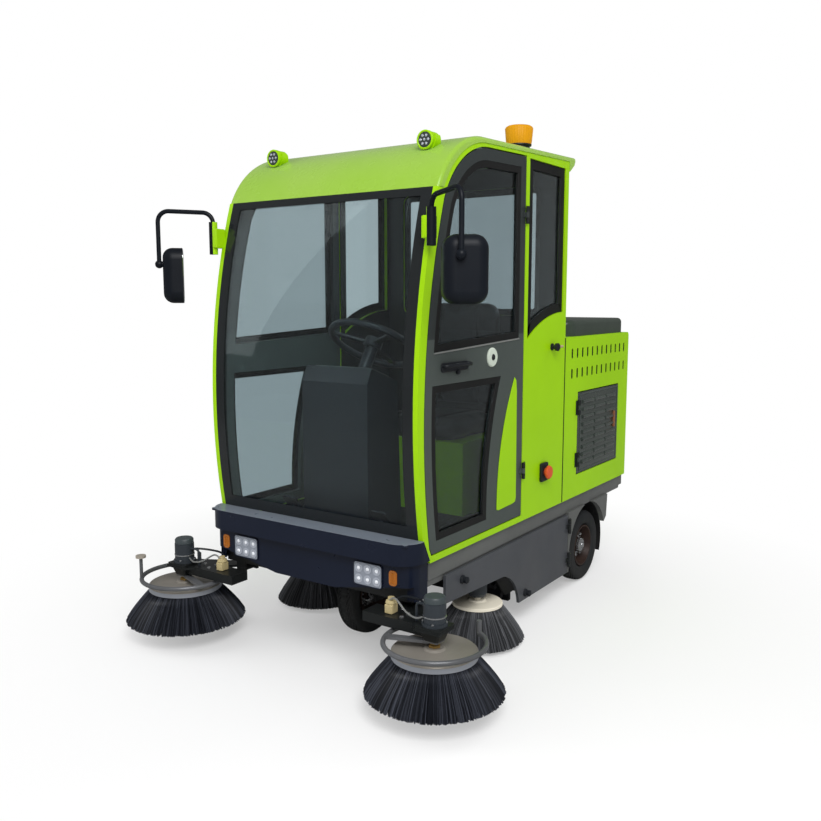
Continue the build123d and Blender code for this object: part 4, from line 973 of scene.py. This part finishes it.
def beacon_parts():
    """Fluted amber dome over the lamp, wider at its top, and its dark foot. The dome is a
    profile that goes round the upright axis with a small cosine on its radius"""
    high = corner("beacon", 1)
    centre = middle("beacon")
    base = high[2] - BEACON_H
    profile = np.array([(0.0508, 0.018), (0.0530, 0.030), (0.0576, BEACON_H - 0.010),
                        (0.0545, BEACON_H - 0.004), (0.0485, BEACON_H + 0.0006),
                        (0.0, BEACON_H + 0.0012)])
    waves = np.cos(32 * circle(192))[None, :]
    flute = 1 + 0.008 * (1 + waves) * (profile[:, 1:] < BEACON_H - 0.002)
    spot = np.array([centre[0], centre[1], base])
    add("beacon_dome", moved(lathe(profile, 192, flute), spot), BEACON)
    foot = turned([(43.5, -2), (45.5, 0), (45.5, 10), (52.5, 13), (52.5, 18.5), (43, 18.5)], 48)
    add("beacon_foot", moved(foot, spot), BLACK)


headlamp_parts()
turn_lamp_ribs()
roof_lamp_parts()
beacon_parts()


# Mirrors


MIRROR_AT = np.array([0.700, -0.873, 1.513])
MIRROR_TURN = math.radians(42.0)
MIRROR_FACE = 0.028
CLAMP_AT = -0.806, 1.662


def mirror_parts(side, way):
    """Mirror face towards the driver and the green cover of the pillar clamp"""
    u = np.array([way * math.cos(MIRROR_TURN), math.sin(MIRROR_TURN), 0.0])
    v = np.array([-way * math.sin(MIRROR_TURN), math.cos(MIRROR_TURN), 0.0])
    at = MIRROR_AT * (way, 1, 1) + MIRROR_FACE * v
    face = slab(138, 214, 38, -1, 1.5, 0.8)
    add(f"mirror_face_{side}", place(face, at, u, Z, v), MIRROR)
    cover = slab(50, 78, 6, -8, 20, 3)
    add(f"mirror_clamp_{side}", on_side(cover, *CLAMP_AT, way), GREEN)


both(mirror_parts)


# Inside the cab


def cushion_start(low, high, axis):
    """Closed cushion: a rounded block as a super-ellipsoid grid, flatter along one axis"""
    u = np.linspace(-np.pi / 2, np.pi / 2, 40)[:, None]
    v = np.linspace(-np.pi, np.pi, 80, endpoint=False)[None, :]
    size = (high - low) / 2
    girth = signed_power(np.cos(u), 0.35)
    a = girth * signed_power(np.cos(v), 0.28)
    b = girth * signed_power(np.sin(v), 0.28)
    c = signed_power(np.sin(u), 0.5) + 0 * v
    order = {2: (a, b, c), 1: (a, c, b)}[axis]
    points = np.stack(order, axis=-1) * size
    return points.reshape(-1, 3) + (low + high) / 2, quads(40, 80, False, True).tolist()


PAD_PRESSURE = 4.0
PAD_STEPS = 20
PAD_VOXEL = 0.007
PAD_TRAVEL = 0.012
SEAM_DEPTH, SEAM_WIDTH = 0.010, 0.008


def puffed(piece):
    """Cloth under inner pressure, stepped and then frozen, with each point's travel capped"""
    remesh = piece.modifiers.new("voxels", "REMESH")
    remesh.voxel_size = PAD_VOXEL
    bake(piece)
    before = mesh_points(piece.data)
    cloth = piece.modifiers.new("swell", "CLOTH")
    cloth.settings.use_pressure = True
    cloth.settings.uniform_pressure_force = PAD_PRESSURE
    cloth.settings.effector_weights.gravity = 0.0
    scene = bpy.context.scene
    for step in range(1, PAD_STEPS + 1):
        scene.frame_set(step)
    bake(piece)
    scene.frame_set(1)
    move = mesh_points(piece.data) - before
    length = np.linalg.norm(move, axis=1, keepdims=True)
    move *= np.minimum(1.0, PAD_TRAVEL / np.maximum(length, 1e-9))
    move_points(piece.data, before + move)


def bake(piece):
    """Freezes a piece's modifiers into its mesh"""
    seen = piece.evaluated_get(bpy.context.evaluated_depsgraph_get())
    baked = bpy.data.meshes.new_from_object(seen)
    baked.materials.clear()
    for finish in piece.data.materials:
        baked.materials.append(finish)
    piece.modifiers.clear()
    piece.data = baked


def sewn(piece, seams, axis):
    """Presses sewn channels into a pad: each point sinks along the axis by a bell curve of
    its distance from the nearest seam"""
    points = mesh_points(piece.data)
    line_axis, level, sign = axis
    near = np.abs(points[:, line_axis][:, None] - np.asarray(seams)[None, :]).min(1)
    middle_level = points[:, level].mean()
    facing = np.clip((points[:, level] - middle_level) * sign / 0.02, 0, 1)
    points[:, level] -= sign * SEAM_DEPTH * np.exp(-((near / SEAM_WIDTH) ** 2)) * facing
    move_points(piece.data, points)


SEAT_TOP = DECK_Z + 0.330 + 0.095
PAD_INSET = 0.008


def seat():
    """Seat cushion and backrest, swelled by cloth and then sewn"""
    low, high = ends("seat_pads")
    cushion = cushion_start(
        np.array([low[0] + PAD_INSET, low[1] + PAD_INSET, low[2] + 0.001]),
        np.array([high[0] - PAD_INSET, high[1] - 0.062, SEAT_TOP - PAD_INSET]), 2,
    )
    back = cushion_start(
        np.array([-0.205, high[1] - 0.083, SEAT_TOP + 0.010]),
        np.array([0.205, high[1] - 0.004, high[2] - PAD_INSET]), 1,
    )
    rows = (
        ("seat_cushion", cushion, (-0.11, 0.11), (0, 2, 1.0)),
        ("seat_backrest", back, (-0.10, 0.10), (0, 1, -1.0)),
    )
    made = []
    for name, shape, seams, axis in rows:
        piece = add(name, shape, LEATHER)
        puffed(piece)
        sewn(piece, seams, axis)
        piece.data.shade_smooth()
        made.append(piece)
    for piece in made:
        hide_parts("seat_pads")


seat()


def console():
    """Instrument panel, gauges, switches and pedals"""
    low, high = ends("dash_pedestal")
    slope = np.array([0.0, 0.17, -0.060])
    along_slope = slope / np.linalg.norm(slope)
    up = np.cross(X, along_slope)
    at = np.array([0.0, low[1] + 0.115, 1.1225])

    def on_slope(shape, across, back):
        """Shape laid on the sloping top"""
        return place(shape, at + across * X + back * along_slope, X, along_slope, up)

    add("dash_panel", on_slope(slab(290, 145, 20, 0, 6, 2), 0, 0), DOOR_GREY)
    gauge = turned([(0, 6), (26, 6), (26, 10), (23, 12), (22, 8), (0, 8)], 32)
    spots = [(-0.09, 0.0), (-0.028, 0.0)]
    gauges = [on_slope(gauge, a, b) for a, b in spots]
    add("dash_gauges", joined(*gauges), TRIM)
    rocker = slab(20, 32, 3, 5, 13, 2)
    switches = [on_slope(rocker, a, b) for a in (0.03, 0.06, 0.09, 0.12) for b in (-0.02, 0.025)]
    add("dash_switches", joined(*switches), BLACK)
    pedal_y = high[1] - 0.25
    pedals = []
    for x in (-0.235, 0.225):
        pad = slab(75, 110, 12, 0, 10, 2)
        tilt = np.array([0.0, -0.64, 0.77])
        centre = np.array([x, pedal_y, DECK_Z + 0.10])
        pedals.append(place(pad, centre, X, tilt, np.cross(X, tilt)))
        stem = np.array([centre + (0, -0.004, 0), centre + (0, -0.05, -0.05),
                         (x, pedal_y - 0.07, DECK_Z + 0.001)])
        pedals.append(tube(stem, 0.008, 10))
    add("pedals", joined(*pedals), BLACK)
    mat = slab(860, 340, 20, 0, 6, 2)
    ribs = [tube(np.array([(-0.40, y, 0.0065), (0.40, y, 0.0065)]), 0.002, 6)
            for y in np.linspace(-0.15, 0.15, 16)]
    floor_mat = moved(joined(mat, *ribs), (0, high[1] + 0.17, DECK_Z))
    add("floor_mat", floor_mat, RUBBER)


console()


# Tail


def tail_parts():
    """Rear lamp ribs, tailgate lock and the ribs pressed in the tailgate"""
    low, high = ends("tail_lamps")
    face = high[1]
    shapes = []
    for _, way in SIDES:
        for step in np.linspace(-0.052, 0.052, 9):
            x = way * (high[0] - 0.065) + step
            line = np.array([(x, face - 0.0015, low[2] + 0.006), (x, face - 0.0015, high[2] - 0.006)])
            shapes.append(tube(line, 0.002, 8))
    add("tail_lamp_ribs", joined(*shapes), RED_LENS)
    skin = corner("tailgate", 1)[1] - 0.021
    at = (0.41, skin, 0.98)
    lock = place(slab(50, 75, 8, 0, 8, 2), at, X, Z, Y)
    barrel = along(turned([(0, 8), (12, 8), (12, 14), (0, 15)], 20), at, Y)
    add("tailgate_lock", joined(lock, barrel), BLACK, "tailgate")
    ribs = []
    t = np.linspace(-0.30, 0.30, 24)
    for z in np.linspace(0.60, 0.95, 8):
        path = np.stack([t, np.full(24, skin - 0.004), np.full(24, z)], axis=1)
        ribs.append(tube(path, 0.007 * np.clip((0.302 - np.abs(t)) / 0.02, 0.05, 1), 8))
    add("tailgate_ribs", joined(*ribs), GREEN, "tailgate")


tail_parts()


# Bolts and vents


def arm_bolts(side, way):
    """Hexagon bolts on the arm bar"""
    bolt = turned([(0, 0), (8.5, 0), (8.5, 5), (6, 7), (0, 7)], 6)
    places = ((0.490, -0.895), (0.490, -0.935), (0.545, -0.905))
    spots = np.array([(way * x, y, ARM_TOP) for x, y in places])
    add(f"arm_bolts_{side}", copies(bolt, spots), HUB, f"brush_arm_{side}", sharp=20.0)


VENT_ROWS = (1.068, 1.163)
BOX_WALL = 0.024


def vent_shade_strips(side, way):
    """Black strips behind the vent slots of the rear box: painted shade that makes the slots look dark
    """
    low, high = ends(f"rear_side_{side}")
    strip = plate(rounded(high[1] - low[1] - 0.110, 0.066, 0.006), -0.003, -0.0006, 0.001)
    shapes = [on_side(strip, (low[1] + high[1]) / 2, z, way, HALF - BOX_WALL) for z in VENT_ROWS]
    add(f"vent_shade_strips_{side}", joined(*shapes), BLACK)


def panel_seam(side, way):
    """Dark strip over the joint between the cab and the rear box"""
    low, high = ends(f"rear_side_{side}")
    strip = plate(rounded(0.008, high[2] - low[2] - 0.004, 0.002), 0.0, 0.0012, 0.0004)
    seam = on_side(strip, low[1] - 0.001, (low[2] + high[2]) / 2, way)
    add(f"panel_seam_{side}", seam, RUBBER)


HOUSE_GAP = 0.007


def wheel_house(side, way):
    """Screen inside a rear wheel: half a ring that stands beside the tyre, and a strip that
    joins its rim to the mud guard's hoop"""
    tyre = middle(f"rear_tyre_{side}")
    inner = np.abs(ends(f"rear_tyre_{side}")[:, 0]).min() - HOUSE_GAP
    rim = corner("mud_guards", 1)[2] - tyre[2]
    angle = np.linspace(0.06, 0.94, 30) * np.pi
    arc = np.stack([np.cos(angle), np.sin(angle)], axis=1)
    wall = plate(np.vstack([rim * arc, 0.075 * arc[::-1]]), -0.004, 0.0, 0.0008)
    hoop = plate(np.vstack([rim * arc, (rim - 0.005) * arc[::-1]]), -0.002, 0.012, 0.0008)
    shape = on_side(joined(wall, hoop), tyre[1], tyre[2], way, inner)
    add(f"wheel_house_{side}", shape, RUBBER)


both(arm_bolts, vent_shade_strips, panel_seam, wheel_house)


# Studio


FLOOR_REACH = 30.0
SKY = 0.56
SEEN_SKY = 1.0
MIRRORED_SKY = 0.16


def ray_kinds(tree):
    """Outputs that tell kinds of ray apart, and one for rays of the camera or through glass"""
    path = new_node(tree, "LightPath", {}).outputs
    return path, maths(tree, "MAXIMUM", path["Is Camera Ray"], path["Is Transmission Ray"])


def studio_floor():
    """Pale floor that turns plain white for the camera, and through glass, away from the machine"""
    mesh = bpy.data.meshes.new("floor")
    square = np.array([(-1, -1, 0), (1, -1, 0), (1, 1, 0), (-1, 1, 0)]) * FLOOR_REACH
    mesh.from_pydata(square.tolist(), [], [[0, 1, 2, 3]])
    floor = in_scene("floor", mesh)
    made, tree, shader, coords = start_material("studio_floor")
    path, seen = ray_kinds(tree)
    shade = blend_colours(tree, path["Is Glossy Ray"], (800, 800, 800), (220, 220, 220))
    wire(tree, shader, {"Base Color": shade, "Roughness": 0.9, "Specular IOR Level": 0.0})
    away = new_node(tree, "VectorMath", {0: coords}, operation="LENGTH").outputs["Value"]
    far = remap(tree, away, 1.0, 2.4, 0.35, 1.0)
    white = new_node(tree, "Emission", {})
    show(tree, mixed(tree, maths(tree, "MULTIPLY", far, seen), shader, white))
    mesh.materials.append(made)


def studio_sky():
    """White surroundings for the camera and through glass, dimmer in reflections"""
    world = bpy.data.worlds.new("studio")
    bpy.context.scene.world = world
    world.use_nodes = True
    tree = world.node_tree
    path, seen = ray_kinds(tree)
    plain = remap(tree, path["Is Glossy Ray"], 0.0, 1.0, SKY, MIRRORED_SKY)
    gain = maths(tree, "MULTIPLY", seen, maths(tree, "SUBTRACT", SEEN_SKY, plain))
    wire(tree, tree.nodes["Background"], {
        "Color": (1000, 1000, 1000), "Strength": maths(tree, "ADD", plain, gain)})


LIGHTS = (
    ("key_light", (3.2, -3.6, 4.6), 3.0, 265.0),
    ("fill_light", (-4.2, -2.6, 3.0), 3.5, 105.0),
    ("rear_light", (2.0, 4.5, 4.2), 3.0, 105.0),
)
LIGHTS_AIM = Vector((0.0, 0.0, 0.9))


def studio_lights():
    """Three large soft lights, of which only the key light shows in reflections"""
    for name, spot, size, power in LIGHTS:
        data = bpy.data.lights.new(name, "AREA")
        data.size = size
        data.energy = power
        lamp = in_scene(name, data)
        lamp.location = spot
        lamp.visible_glossy = name == "key_light"
        lamp.rotation_euler = (LIGHTS_AIM - Vector(spot)).to_track_quat("-Z", "Y").to_euler()


CAMERA_AT = (2.1503, -3.3036, 1.4205)
CAMERA_TURN = 34.42
CAMERA_DIP = 7.48
CAMERA_LENS = 37.52


def camera():
    """Camera at the photograph's place and angle"""
    data = bpy.data.cameras.new("camera")
    data.lens = CAMERA_LENS
    data.sensor_width = 36.0
    eye = in_scene("camera", data)
    turn, dip = math.radians(CAMERA_TURN), math.radians(CAMERA_DIP)
    way = Vector((-math.sin(turn) * math.cos(dip), math.cos(turn) * math.cos(dip), -math.sin(dip)))
    eye.location = CAMERA_AT
    eye.rotation_euler = way.to_track_quat("-Z", "Y").to_euler()
    bpy.context.scene.camera = eye


studio_floor()
studio_sky()
studio_lights()
camera()
bpy.context.scene.view_settings.view_transform = "Standard"
